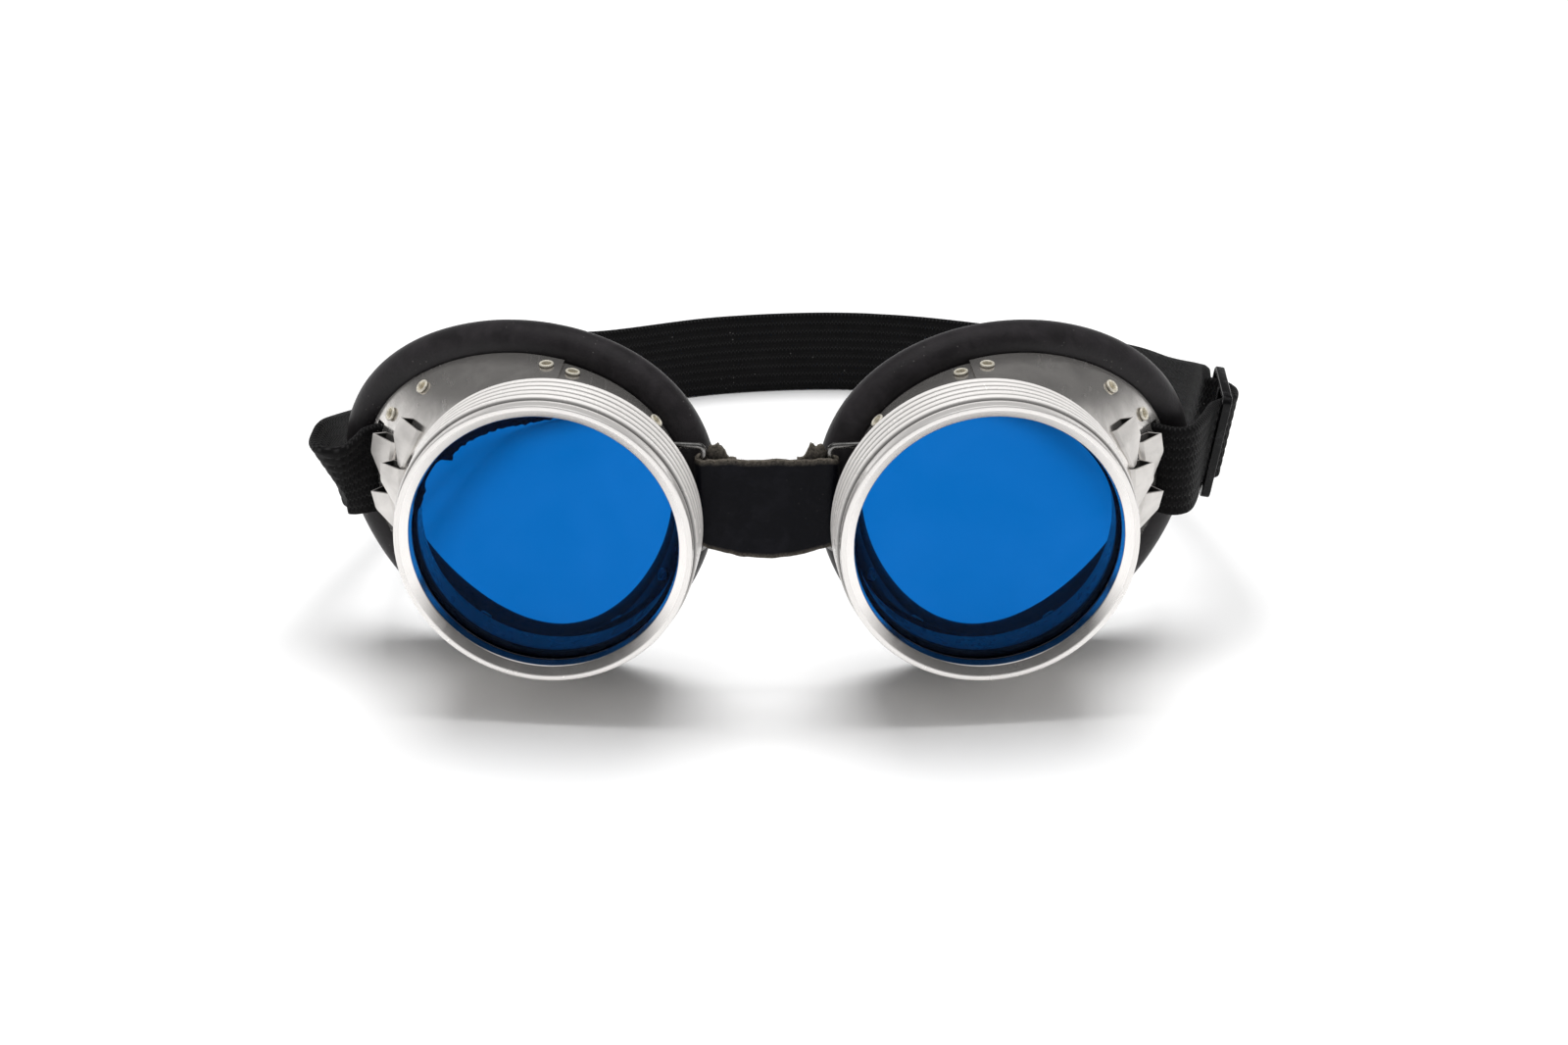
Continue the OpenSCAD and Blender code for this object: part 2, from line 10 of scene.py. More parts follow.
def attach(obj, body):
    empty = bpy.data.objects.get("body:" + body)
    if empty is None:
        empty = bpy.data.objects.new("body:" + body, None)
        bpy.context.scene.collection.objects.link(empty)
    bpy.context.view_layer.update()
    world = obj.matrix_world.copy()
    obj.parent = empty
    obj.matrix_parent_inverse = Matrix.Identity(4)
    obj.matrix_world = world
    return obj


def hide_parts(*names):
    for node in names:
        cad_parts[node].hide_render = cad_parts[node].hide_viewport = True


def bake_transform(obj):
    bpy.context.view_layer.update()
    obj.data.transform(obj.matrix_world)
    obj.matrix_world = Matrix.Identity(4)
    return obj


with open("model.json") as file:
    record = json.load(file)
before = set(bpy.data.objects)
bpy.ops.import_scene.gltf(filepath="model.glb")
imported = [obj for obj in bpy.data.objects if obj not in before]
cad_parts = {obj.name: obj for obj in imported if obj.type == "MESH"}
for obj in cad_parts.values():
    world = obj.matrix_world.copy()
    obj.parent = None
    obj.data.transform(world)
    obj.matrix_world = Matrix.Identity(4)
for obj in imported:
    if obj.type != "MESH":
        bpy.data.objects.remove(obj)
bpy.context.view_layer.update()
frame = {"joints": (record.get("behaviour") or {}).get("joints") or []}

bl_info = {
    "name": "Welding goggles",
    "version": (1, 0, 0),
    "blender": (4, 5, 0),
    "location": "View3D > Sidebar > Goggles",
    "description": "Dresses a pair of sheet-metal welding goggles, piece by piece",
    "category": "Add Mesh",
}

# Sizes are kept in metres. Shapes are worked out in millimetres.
MM = 0.001
SIDES = {"left": -1, "right": 1}
UP = np.array([0.0, 0.0, 1.0])
JOINTS = {joint["name"]: joint for joint in frame["joints"]}


def length(name, text, value):
    """A length property, given in millimetres."""
    return FloatProperty(
        name=name, description=text, default=value * MM, unit="LENGTH", precision=5, step=0.01
    )


def angle(name, text, value):
    """An angle property, given in degrees."""
    return FloatProperty(
        name=name, description=text, default=math.radians(value), subtype="ANGLE"
    )


def colour(name, text, value):
    """A colour property, given as linear red, green and blue."""
    return FloatVectorProperty(
        name=name, description=text, default=value, size=3, subtype="COLOR", min=0, max=1
    )


class GOGGLES_PG_sizes(bpy.types.PropertyGroup):
    """Sizes of the goggles' pieces."""

    lens_r: length("Lens radius", "Radius of the round filter glass", 25)
    lens_t: length("Lens thickness", "Thickness of the filter glass", 2.6)
    lip_cover: length("Lip cover", "Width of the glass edge under the cap's lip", 0.4)
    lip_depth: length("Lip depth", "Depth of the lip's inner edge", 2.9)
    lip_bevel: length("Lip bevel", "Depth of the bevel on the lip's face", 1.1)
    lip_t: length("Lip thickness", "Thickness of the lip in front of the glass", 0.6)
    cap_len: length("Cap length", "Length of the cap from lip to rear edge", 13)
    cap_wall: length("Cap wall", "Sheet thickness of the cap's skirt", 0.5)
    thread_pitch: length("Thread pitch", "Pitch of the rolled ridges", 1.9)
    ridge_h: length("Ridge height", "Height of the rolled ridges", 0.65)
    gasket_t: length("Gasket thickness", "Thickness of the packing ring", 0.8)
    gasket_w: length("Gasket width", "Width of the packing ring", 1.0)
    sheet_t: length("Sheet thickness", "Thickness of the shell's sheet", 0.6)
    rim_half_w: length("Rim half width", "Half width of the rear rim", 33.4)
    rim_half_h: length("Rim half height", "Half height of the rear rim", 30.2)
    rim_out: length("Rim outward", "Shift of the rim outward from the lens axis", 6.9)
    rim_drop: length("Rim drop", "Drop of the rim below the lens axis", 2.4)
    rim_depth: length("Rim depth", "Depth of the rim behind the cap's lip", 30)
    rim_wrap: angle("Rim wrap", "Wrap of the rim towards the temple", 15)
    rim_lean: angle("Rim lean", "Backward lean of the top of the rim", 5)
    rim_roll: angle("Rim roll", "Turn of the rim about the lens axis", 9)
    rim_egg: FloatProperty(
        name="Rim egg", description="How much wider the brow is than the cheek",
        default=0.18, min=0, max=0.4,
    )
    bead_d: length("Bead diameter", "Diameter of the rubber bead", 8.4)
    flange_t: length("Flange thickness", "Thickness of the rubber inside the shell", 1.2)
    flange_len: length("Flange length", "Reach of the rubber inside the shell", 5.5)
    eyelet_bore: length("Eyelet bore", "Bore radius of an eyelet", 0.8)
    eyelet_flange: length("Eyelet flange", "Flange radius of an eyelet", 1.5)
    eyelet_wall: length("Eyelet wall", "Wall of an eyelet's barrel", 0.25)
    louvre_len: length("Louvre length", "Length of a pressed louvre", 9)
    louvre_w: length("Louvre width", "Width of a pressed louvre", 5.4)
    louvre_h: length("Louvre height", "Height of a louvre's open mouth", 2.4)
    leather_t: length("Leather thickness", "Thickness of the nose bridge", 1.2)
    bridge_h: length("Bridge height", "Height of the leather at its ends", 16.6)
    bridge_bow: length("Bridge bow", "Bow of the leather's lower edge", 3.2)
    bridge_rise: length("Bridge rise", "Height of the leather above the lens axis", 4.1)
    bridge_lap: length("Bridge lap", "Length of the doubled leather", 6)
    wire_d: length("Wire diameter", "Diameter of the wire loops", 1.2)
    strap_w: length("Strap width", "Width of the elastic strap", 18)
    strap_t: length("Strap thickness", "Thickness of the elastic strap", 1.8)
    strap_reach: length("Strap reach", "Depth of the strap's loop", 161.5)
    strap_ribs: IntProperty(
        name="Strap ribs", description="Woven ribs across the strap", default=9, min=3, max=20
    )
    hem_d: length("Hem diameter", "Diameter of the rolled hem at a strap end", 4.4)
    bar_w: length("Bar width", "Width of a slider bar", 1.8)
    slider_t: length("Slider thickness", "Thickness of the slider", 1.8)
    window_len: length("Window length", "Length of a slider window", 6)
    slider_lean: angle("Slider lean", "Outward lean of the slider", 10)
    fibres: IntProperty(
        name="Raw fibres", description="Loose fibres along the leather's cut edges",
        default=150, min=0, max=600,
    )


class GOGGLES_PG_colours(bpy.types.PropertyGroup):
    """Base colours of the goggles' finishes."""

    sheet: colour("Sheet", "Bright rolled sheet of the shells", (0.80, 0.77, 0.74))
    cap: colour("Cap", "Satin metal of the caps", (0.96, 0.93, 0.905))
    # The ring's dark colour is painted shade.
    ring: colour("Ring", "Turned metal of the threaded rings", (0.07, 0.068, 0.075))
    glass: colour("Glass", "Cobalt-blue filter glass", (0.0, 0.122, 0.44))
    rubber: colour("Rubber", "Black rubber edging", (0.0115, 0.0100, 0.0112))
    eyelet: colour("Eyelet", "Nickelled brass eyelets", (0.90, 0.85, 0.73))
    # The wire's dark colour is painted shade.
    wire: colour("Wire", "Dull steel wire", (0.26, 0.255, 0.25))
    leather: colour("Leather", "Blue-black leather", (0.004, 0.0042, 0.0065))
    raw_edge: colour("Raw edge", "Cut edge of the leather", (0.17, 0.15, 0.125))
    strap: colour("Strap", "Black woven elastic", (0.003, 0.0029, 0.0031))
    slider: colour("Slider", "Black enamel of the slider", (0.004, 0.004, 0.0045))


# Values from the panel and small sums

def panel_sizes():
    return bpy.context.scene.goggle_sizes


def size(name):
    """A length from the panel, in millimetres."""
    return getattr(panel_sizes(), name) / MM


def shaded(value, share):
    """A colour made darker or lighter by a share, with full alpha."""
    return tuple(c * share for c in value[:3]) + (1.0,)


def tint(name, share=1.0):
    """A colour from the panel, shaded by a share."""
    return shaded(getattr(bpy.context.scene.goggle_colours, name), share)


def joint_place(name):
    """Place of a joint of the frame, in millimetres."""
    return np.array(JOINTS[name]["pos_m"]) / MM


def unit(v):
    v = np.asarray(v, float)
    return v / np.linalg.norm(v, axis=-1, keepdims=True)


def smoothstep(t):
    t = np.clip(t, 0, 1)
    return t * t * (3 - 2 * t)


def circle(count):
    """Angles of points spread evenly round a circle, in radians."""
    return np.linspace(0, 2 * math.pi, count, endpoint=False)


def hoops(rows, around):
    """A ring of points for each row of radius and z."""
    t = circle(around)
    return [np.stack([r * np.cos(t), r * np.sin(t), np.full(around, z)], axis=-1) for r, z in rows]


def distance_along(points):
    """Distance of each point from the first one, along the line."""
    steps = np.linalg.norm(np.diff(points, axis=0), axis=1)
    return np.concatenate([[0], np.cumsum(steps)])


def corner_arc(before, corner, after, reach, cuts):
    """A round corner that leaves each side at the reach from the sharp corner."""
    p = corner + unit(before - corner) * reach
    q = corner + unit(after - corner) * reach
    return [(1 - t) ** 2 * p + 2 * t * (1 - t) * corner + t * t * q
            for t in np.linspace(0, 1, cuts + 1)]


def rounded(corners, radii, cuts):
    """A closed outline with each corner replaced by a small arc."""
    most = 0.48
    corners = np.asarray(corners, float)
    path = []
    for i, reach in enumerate(np.broadcast_to(radii, len(corners))):
        before, corner, after = corners[i - 1], corners[i], corners[(i + 1) % len(corners)]
        room = min(np.linalg.norm(before - corner), np.linalg.norm(after - corner))
        reach = min(reach, most * room)
        path += corner_arc(before, corner, after, reach, cuts) if reach > 0 else [corner]
    return np.array(path)


def through(knots, cuts):
    """A smooth curve through rows of numbers."""
    knots = np.asarray(knots, float)
    last = len(knots) - 1
    rows = []
    for i in range(last):
        p, q, r, s = (knots[min(max(i + k, 0), last)] for k in (-1, 0, 1, 2))
        for k in range(cuts):
            t = k / cuts
            rows.append(0.5 * (2 * q + (r - p) * t + (2 * p - 5 * q + 4 * r - s) * t ** 2
                               + (3 * q - p - 3 * r + s) * t ** 3))
    rows.append(knots[last])
    return np.array(rows)


def ripple(values, seed):
    """A small smooth wander between about -1 and 1, the same on each run."""
    waves, pace, phase, peak = 5, (0.7, 1.3), (0, 6.28), 1.6
    random = np.random.default_rng(seed)
    total = np.zeros_like(values)
    for k in range(1, waves + 1):
        total += np.sin(values * k * random.uniform(*pace) + random.uniform(*phase)) / k
    return total / peak


# Meshes

SHARP = 35


def new_object(name, data):
    obj = bpy.data.objects.new(name, data)
    bpy.context.scene.collection.objects.link(obj)
    return obj


def shade(mesh, sharp):
    """Smooth shading with sharp edges above an angle in degrees."""
    mesh.polygons.foreach_set("use_smooth", [True] * len(mesh.polygons))
    mesh.set_sharp_from_angle(angle=math.radians(sharp))


def face_outwards(mesh):
    """Turns a closed mesh right side out, by the sign of its volume."""
    mesh.calc_loop_triangles()
    triangles = np.zeros(len(mesh.loop_triangles) * 3, int)
    mesh.loop_triangles.foreach_get("vertices", triangles)
    points = np.zeros(len(mesh.vertices) * 3)
    mesh.vertices.foreach_get("co", points)
    a, b, c = (points.reshape(-1, 3)[triangles.reshape(-1, 3)[:, k]] for k in range(3))
    if np.einsum("ij,ij->", a, np.cross(b, c)) < 0:
        mesh.flip_normals()


def make_object(name, points, faces, uv=None, sharp=SHARP):
    """A mesh object in metres from points in millimetres, its faces turned outwards."""
    mesh = bpy.data.meshes.new(name)
    mesh.from_pydata((np.asarray(points, float) * MM).tolist(), [], faces)
    mesh.validate()
    if uv is not None:
        layer = mesh.uv_layers.new(name="UVMap")
        corners = np.zeros(len(mesh.loops), int)
        mesh.loops.foreach_get("vertex_index", corners)
        layer.data.foreach_set("uv", np.asarray(uv, float).reshape(-1, 2)[corners].ravel())
    face_outwards(mesh)
    shade(mesh, sharp)
    return new_object(name, mesh)


def loft(name, rings, wrap=False, uv=None, sharp=SHARP):
    """A skin over closed rings of points. Its ends are capped, or joined where it wraps."""
    rings = np.asarray(rings, float)
    count, points = rings.shape[:2]
    faces = []
    for i in range(count if wrap else count - 1):
        j = (i + 1) % count
        for k in range(points):
            m = (k + 1) % points
            faces.append((i * points + k, i * points + m, j * points + m, j * points + k))
    if not wrap:
        faces.append(tuple(range(points - 1, -1, -1)))
        faces.append(tuple((count - 1) * points + k for k in range(points)))
    return make_object(name, rings.reshape(-1, 3), faces, uv, sharp)


def mark(obj, name, values):
    """Stores a number for each point, which a finish can read."""
    data = obj.data.attributes.new(name, "FLOAT", "POINT")
    data.data.foreach_set("value", np.asarray(values, np.float32))


def evaluated_mesh(obj):
    """A new mesh of the object as its modifiers leave it."""
    bpy.context.view_layer.update()
    evaluated = obj.evaluated_get(bpy.context.evaluated_depsgraph_get())
    return bpy.data.meshes.new_from_object(evaluated)


def baked(obj):
    """Replaces the object's mesh by what its modifiers make of it."""
    mesh, old = evaluated_mesh(obj), obj.data
    obj.modifiers.clear()
    obj.data = mesh
    mesh.name = obj.name
    bpy.data.meshes.remove(old)


def cut(obj, cutters, sharp):
    """Takes the cutters out of the object and removes them."""
    for cutter in cutters:
        tool = obj.modifiers.new("cut", "BOOLEAN")
        tool.operation = "DIFFERENCE"
        tool.solver = "EXACT"
        tool.object = cutter
    baked(obj)
    shade(obj.data, sharp)
    for cutter in cutters:
        discard(cutter)


def discard(obj):
    """Removes a helper object and its mesh."""
    mesh = obj.data
    bpy.data.objects.remove(obj)
    bpy.data.meshes.remove(mesh)


def finish_piece(obj, look, body, node=None):
    """Gives a piece its finish, its body and the node it stands for."""
    obj.data.materials.clear()
    obj.data.materials.append(finish(look))
    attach(obj, body)
    if node:
        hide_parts(node)


# Eyecup lines

class Eyecup:
    """The lines of one eyecup. Cup coordinates: x outward, y up, z forward from the lip."""

    TOP, FRONT = np.array([0.0, 1.0, 0.0]), np.array([0.0, 0.0, 1.0])
    # Angles round the rim in degrees, 0 at the temple and 90 at the brow
    LAP_FROM, LAP_TO = 97, 108.5
    RIM_EYELETS = (43, 61, 144, 206, 235, 304)
    LAP_EYELET = 104
    SEAM_EYELETS = (LAP_EYELET, 112)
    SLOT_AT = 16
    # Angle and row of each louvre
    LOUVRES = ((25, 0), (1, 0), (41, 1), (17, 1))
    LOUVRE_INSET, LOUVRE_ROW = 8.7, 5.7
    EYELET_INSET, EYELET_SHARE, EYELET_OVERHANG = 3.9, 0.36, 0.2
    SLOT_INSET, SLOT_PLAY = 3.5, 0.4
    HEM_IN, HEM_FORWARD = 2.1, 1.3
    EDGE_IN, EDGE_GAP = 1.2, 0.4
    RING_PAST_GLASS, CAP_PLAY, GLASS_PLAY = 1.8, 0.08, 0.05
    BAND_LEN, BAND_IN, CAP_OVERLAP = 1.8, 1.25, 0.4

    def __init__(self, name):
        self.name = name
        self.side = SIDES[name]
        self.centre = joint_place(f"{name}_cap_turn")
        self.forward = unit(JOINTS[f"{name}_cap_turn"]["axis"])
        self.outward = self.side * np.cross(UP, self.forward)
        self.bead_r = size("bead_d") / 2
        self.ring_r = size("lens_r") + self.RING_PAST_GLASS
        self.bore_r = self.ring_r + self.CAP_PLAY
        self.band_r = self.bore_r - self.BAND_IN - size("sheet_t") / 2
        self.front_z = -(size("cap_len") - self.CAP_OVERLAP)
        self.band_z = self.front_z - self.BAND_LEN
        self.glass_z = -(size("lip_depth") + size("lip_t") + self.GLASS_PLAY)
        self.gasket_z = self.glass_z - size("lens_t") - self.GLASS_PLAY
        self.ring_z = self.gasket_z - size("gasket_t") - self.GLASS_PLAY

    def world(self, points):
        """Points in the goggles' frame."""
        return self.centre + self.turn(points)

    def turn(self, vectors):
        """Directions in the goggles' frame."""
        v = np.asarray(vectors, float)
        return v[..., :1] * self.outward + v[..., 1:2] * UP + v[..., 2:] * self.forward

    def place(self, middle, axes, points):
        """Points given along three cup directions from a middle, in the goggles' frame."""
        points = np.asarray(points, float)
        return self.world(middle + sum(points[..., k:k + 1] * axes[k] for k in range(3)))

    def rim(self, a):
        """The bead's centre line: an egg, wrapped to the temple, leant back and rolled."""
        t = np.radians(np.asarray(a, float))
        given = panel_sizes()
        wrap, lean, roll = given.rim_wrap, given.rim_lean, given.rim_roll
        x = size("rim_half_w") * np.cos(t) * (1 + given.rim_egg * np.sin(t))
        y = size("rim_half_h") * np.sin(t)
        w = size("rim_out") + x * math.cos(wrap)
        v = y * math.cos(lean) - size("rim_drop")
        return np.stack([
            w * math.cos(roll) + v * math.sin(roll),
            v * math.cos(roll) - w * math.sin(roll),
            -size("rim_depth") - x * math.sin(wrap) - y * math.sin(lean),
        ], axis=-1)

    def rim_side(self, a):
        """The way out from the rim, square to the lens axis."""
        d = self.rim(np.asarray(a) + 1) - self.rim(np.asarray(a) - 1)
        return unit(np.stack([d[..., 1], -d[..., 0], 0 * d[..., 0]], axis=-1))

    def edge(self, a):
        """The sheet's rear edge, inside the bead."""
        inside = self.rim(a) - self.EDGE_IN * self.rim_side(a)
        return inside + self.FRONT * (self.bead_r + self.EDGE_GAP)

    def radial(self, a):
        """The way out from the lens axis towards the sheet's rear edge."""
        return unit(self.edge(a) * np.array([1, 1, 0]))

    def band(self, a):
        """The sheet's round front end, where it meets the ring."""
        return self.band_r * self.radial(a) + self.FRONT * self.band_z

    def ruling(self, a):
        """The way forward along the sheet, from its rear edge to the band."""
        return unit(self.band(a) - self.edge(a))

    def reach(self, a):
        """Length of the sheet from its rear edge to the band."""
        return np.linalg.norm(self.band(a) - self.edge(a), axis=-1)

    def sheet(self, a, inset):
        """The sheet's middle at an inset from its rear edge."""
        return self.edge(a) + np.asarray(inset)[..., None] * self.ruling(a)

    def normal(self, a, inset):
        """The way out from the sheet."""
        a = np.asarray(a, float)
        along = self.sheet(a + 1, inset) - self.sheet(a - 1, inset)
        return unit(np.cross(along, self.ruling(a)))

    def side_at(self, a, share):
        """The way out at a share of the reach, blended from the rim's to the band's."""
        share = np.asarray(share)[..., None]
        return unit(self.rim_side(a) * (1 - share) + self.radial(a) * share)

    def eyelet_inset(self, a):
        """Inset of an eyelet, less where the sheet is short."""
        near = size("eyelet_flange") - self.EYELET_OVERHANG
        return max(near, min(self.EYELET_INSET, self.EYELET_SHARE * float(self.reach(a))))

    def slot(self):
        """Middle of the strap's slot, the way the strap leaves it and the way forward."""
        r = self.ruling(self.SLOT_AT)
        middle = self.sheet(self.SLOT_AT, self.SLOT_INSET)
        return middle, unit([r[2], 0, -r[0]]), unit([r[0], 0, r[2]])

    def hem(self):
        """Middle of the strap's rolled hem, inside the slot."""
        middle, out, front = self.slot()
        return middle - (size("hem_d") / 2 + self.HEM_IN) * out + self.HEM_FORWARD * front


def eyecups():
    """Both eyecups, the left one first."""
    return [Eyecup(name) for name in SIDES]


def revolve(cup, name, outline, around, radius=None, **marks):
    """Turns an outline of (r, z) about the lens axis, with marks for the outline's points.

    UV: share of the turn, length along the outline.
    """
    outline = np.asarray(outline, float)
    along = distance_along(outline)
    rings, uv = [], []
    for t in circle(around):
        r = outline[:, 0] if radius is None else radius(t, outline)
        rings.append(np.stack([r * math.cos(t), r * math.sin(t), outline[:, 1]], axis=-1))
        uv.append(np.stack([np.full(len(along), t / (2 * math.pi)), along], axis=-1))
    obj = loft(name, cup.world(rings), True, uv)
    for key, values in marks.items():
        mark(obj, key, np.tile(values, around))
    return obj


# Node trees

class Nodes:
    """A node tree with short ways to add to it."""

    def __init__(self, tree):
        self.tree = tree

    def put(self, kind, inputs=None, **settings):
        """A node with its settings, values and links."""
        node = self.tree.nodes.new(kind)
        for key, value in settings.items():
            setattr(node, key, value)
        for key, value in (inputs or {}).items():
            self.join(value, node.inputs[key])
        return node

    def join(self, value, socket):
        """Links a socket's value, or sets a plain one."""
        if isinstance(value, bpy.types.NodeSocket):
            self.tree.links.new(value, socket)
        else:
            socket.default_value = value

    def maths(self, operation, a, b=0.0, clamp=False):
        return self.put("ShaderNodeMath", {0: a, 1: b}, operation=operation, use_clamp=clamp).outputs[0]

    def times(self, a, b):
        return self.maths("MULTIPLY", a, b)

    def span(self, value, low, high, to_low=0.0, to_high=1.0):
        return self.put("ShaderNodeMapRange", {
            "Value": value, "From Min": low, "From Max": high,
            "To Min": to_low, "To Max": to_high}).outputs["Result"]

    def between(self, mask, low, high):
        """From low where the mask is 0 to high where it is 1."""
        return self.span(mask, 0, 1, low, high)

    def mix(self, share, a, b):
        """A blend of two colours."""
        return self.put("ShaderNodeMix", {0: share, 6: a, 7: b}, data_type="RGBA").outputs[2]

    def noise(self, vector, scale, detail=3.0, rough=0.55, twist=0.0):
        return self.put("ShaderNodeTexNoise", {
            "Vector": vector, "Scale": scale, "Detail": detail, "Roughness": rough,
            "Distortion": twist}).outputs["Fac"]


class Group(Nodes):
    """A new node group with named inputs and one output."""

    def __init__(self, name, kind, inputs, output):
        super().__init__(bpy.data.node_groups.new(name, kind))
        for label, socket, value in inputs:
            made = self.tree.interface.new_socket(label, in_out="INPUT", socket_type=f"NodeSocket{socket}")
            if value is not None:
                made.default_value = value
        label, socket = output
        self.tree.interface.new_socket(label, in_out="OUTPUT", socket_type=f"NodeSocket{socket}")
        self.given = self.tree.nodes.new("NodeGroupInput").outputs
        self.end = self.tree.nodes.new("NodeGroupOutput")

    def give(self, value):
        """Links the group's output and gives the finished tree."""
        self.join(value, self.end.inputs[0])
        return self.tree


def effect_group(name, output, **numbers):
    """A shader group with a vector and numbers in and one number out."""
    inputs = [("Vector", "Vector", None)]
    inputs += [(key.title(), "Float", value) for key, value in numbers.items()]
    return Group(name, "ShaderNodeTree", inputs, (output, "Float"))


def shape_group(name, places, *inputs):
    """A geometry group with places, sizes and a finish in and a mesh out."""
    inputs = [(places, "Geometry", None), *inputs, ("Finish", "Material", None)]
    return Group(name, "GeometryNodeTree", inputs, ("Mesh", "Geometry"))


def give_copies(g, points, piece, angles, **settings):
    """Copies of a piece on points, made real in the given finish, as the group's mesh."""
    turned = g.put("FunctionNodeEulerToRotation", {"Euler": angles})
    placed = g.put("GeometryNodeInstanceOnPoints", {
        "Points": points, "Instance": piece, "Rotation": turned.outputs[0], **settings})
    real = g.put("GeometryNodeRealizeInstances", {"Geometry": placed.outputs[0]})
    done = g.put("GeometryNodeSetMaterial", {
        "Geometry": real.outputs[0], "Material": g.given["Finish"]})
    return g.give(done.outputs[0])


def own_angles(g):
    """The Euler angles that place_points keeps on each point."""
    return g.put("GeometryNodeInputNamedAttribute", {"Name": "turn"}, data_type="FLOAT_VECTOR").outputs[0]


def shared_group(name, build):
    """The node group of that name, built when it is first asked for."""
    return bpy.data.node_groups.get(name) or build(name)


def run_tree(obj, group, **values):
    """Runs a geometry group on the object once and keeps the result as a plain mesh."""
    tree = shared_group(*group)
    tool = obj.modifiers.new(tree.name, "NODES")
    tool.node_group = tree
    for item in tree.interface.items_tree:
        key = item.name.lower()
        if item.in_out == "INPUT" and key in values:
            tool[item.identifier] = values[key]
    baked(obj)


# Effects that several finishes share

def build_patches(name):
    """Soft cloudy patches: a mask from 0 to 1."""
    g = effect_group(name, "Mask", scale=200.0, low=0.4, high=0.6)
    cloud = g.noise(g.given["Vector"], g.given["Scale"], detail=4.0, rough=0.6, twist=0.6)
    return g.give(g.span(cloud, g.given["Low"], g.given["High"]))


def build_scratches(name):
    """Fine scratches running two ways: a mask from 0 to 1."""
    ways, thin, faint, full = ((0.3, 0.2, 0.9), (1.1, -0.5, 2.2)), (1.0, 0.05, 1.0), 0.64, 0.72
    g = effect_group(name, "Mask", scale=900.0)
    masks = []
    for way in ways:
        turned = g.put("ShaderNodeMapping", {
            "Vector": g.given["Vector"], "Rotation": way, "Scale": thin}).outputs[0]
        masks.append(g.span(g.noise(turned, g.given["Scale"], detail=2.0), faint, full))
    return g.give(g.maths("MAXIMUM", *masks))


def build_specks(name):
    """Small scattered dust specks: a mask from 0 to 1."""
    cloud_scale, cloud_from = 160.0, 0.56
    g = effect_group(name, "Mask", scale=500.0, size=0.16)
    cell = g.put("ShaderNodeTexVoronoi", {"Vector": g.given["Vector"], "Scale": g.given["Scale"]})
    near = g.maths("LESS_THAN", cell.outputs["Distance"], g.given["Size"])
    some = g.maths("GREATER_THAN", g.noise(g.given["Vector"], cloud_scale), cloud_from)
    return g.give(g.times(near, some))


def build_grain(name):
    """Fine pebbled height for rubber, leather, eyelets and enamel."""
    g = effect_group(name, "Height", scale=1500.0)
    cell = g.put("ShaderNodeTexVoronoi", {
        "Vector": g.given["Vector"], "Scale": g.given["Scale"], "Randomness": 0.9},
        feature="SMOOTH_F1")
    fine = g.noise(g.given["Vector"], g.given["Scale"], detail=4.0, rough=0.65)
    return g.give(g.maths("ADD", cell.outputs["Distance"], fine))


PATCHES = ("Cloudy patches", build_patches)
SCRATCHES = ("Fine scratches", build_scratches)
SPECKS = ("Dust specks", build_specks)
GRAIN = ("Pebbled grain", build_grain)


class Finish(Nodes):
    """A material under construction, with its principled shader and object coordinates."""

    def __init__(self, name, **values):
        self.material = bpy.data.materials.new(name)
        self.material.use_nodes = True
        super().__init__(self.material.node_tree)
        self.tree.nodes.clear()
        self.shader = self.put("ShaderNodeBsdfPrincipled")
        self.put("ShaderNodeOutputMaterial", {"Surface": self.shader.outputs[0]})
        coordinates = self.put("ShaderNodeTexCoord")
        self.object, self.uv = coordinates.outputs["Object"], coordinates.outputs["UV"]
        for key, value in values.items():
            socket = key.replace("_", " ").title().replace("Ior", "IOR")
            self.shader.inputs[socket].default_value = value

    def use(self, group, **values):
        """A shared effect on object coordinates, with its own values."""
        node = self.put("ShaderNodeGroup", node_tree=shared_group(*group))
        self.join(self.object, node.inputs["Vector"])
        for key, value in values.items():
            self.join(value, node.inputs[key.title()])
        return node.outputs[0]

    def attribute(self, name):
        return self.put("ShaderNodeAttribute", attribute_name=name).outputs["Fac"]

    def uv_part(self, axis):
        return self.put("ShaderNodeSeparateXYZ", {"Vector": self.uv}).outputs[axis]

    def lathe_lines(self, scale, detail):
        """Lines round a turned piece, by the length along its outline."""
        return self.put("ShaderNodeTexNoise", {
            "W": self.uv_part("Y"), "Scale": scale, "Detail": detail},
            noise_dimensions="1D").outputs["Fac"]

    def colour(self, value):
        self.join(value, self.shader.inputs["Base Color"])

    def rough(self, value):
        self.join(value, self.shader.inputs["Roughness"])

    def metal(self, value):
        self.join(value, self.shader.inputs["Metallic"])

    def bump(self, height, depth, strength=1.0, after=None):
        """Bumps of a depth in millimetres, over the bumps given by after."""
        node = self.put("ShaderNodeBump", {
            "Height": height, "Distance": depth * MM, "Strength": strength})
        if after is not None:
            self.join(after, node.inputs["Normal"])
        self.join(node.outputs[0], self.shader.inputs["Normal"])
        return node.outputs[0]


# Finishes

PACKING = (0.002, 0.002, 0.002, 1)
GLASS_GLINT = (0.05, 0.09, 0.18, 1.0)
RUBBER_DUST = (0.16, 0.155, 0.15, 1)
LEATHER_DUST = (0.14, 0.13, 0.12, 1)
WORN_LEATHER = (0.011, 0.011, 0.015, 1)
DARK_FIBRE = (0.05, 0.045, 0.04, 1)
THREAD_DOT = (0.075, 0.074, 0.075, 1)
LINT = (0.18, 0.175, 0.17, 1)
WORN_ENAMEL = (0.022, 0.022, 0.024, 1)


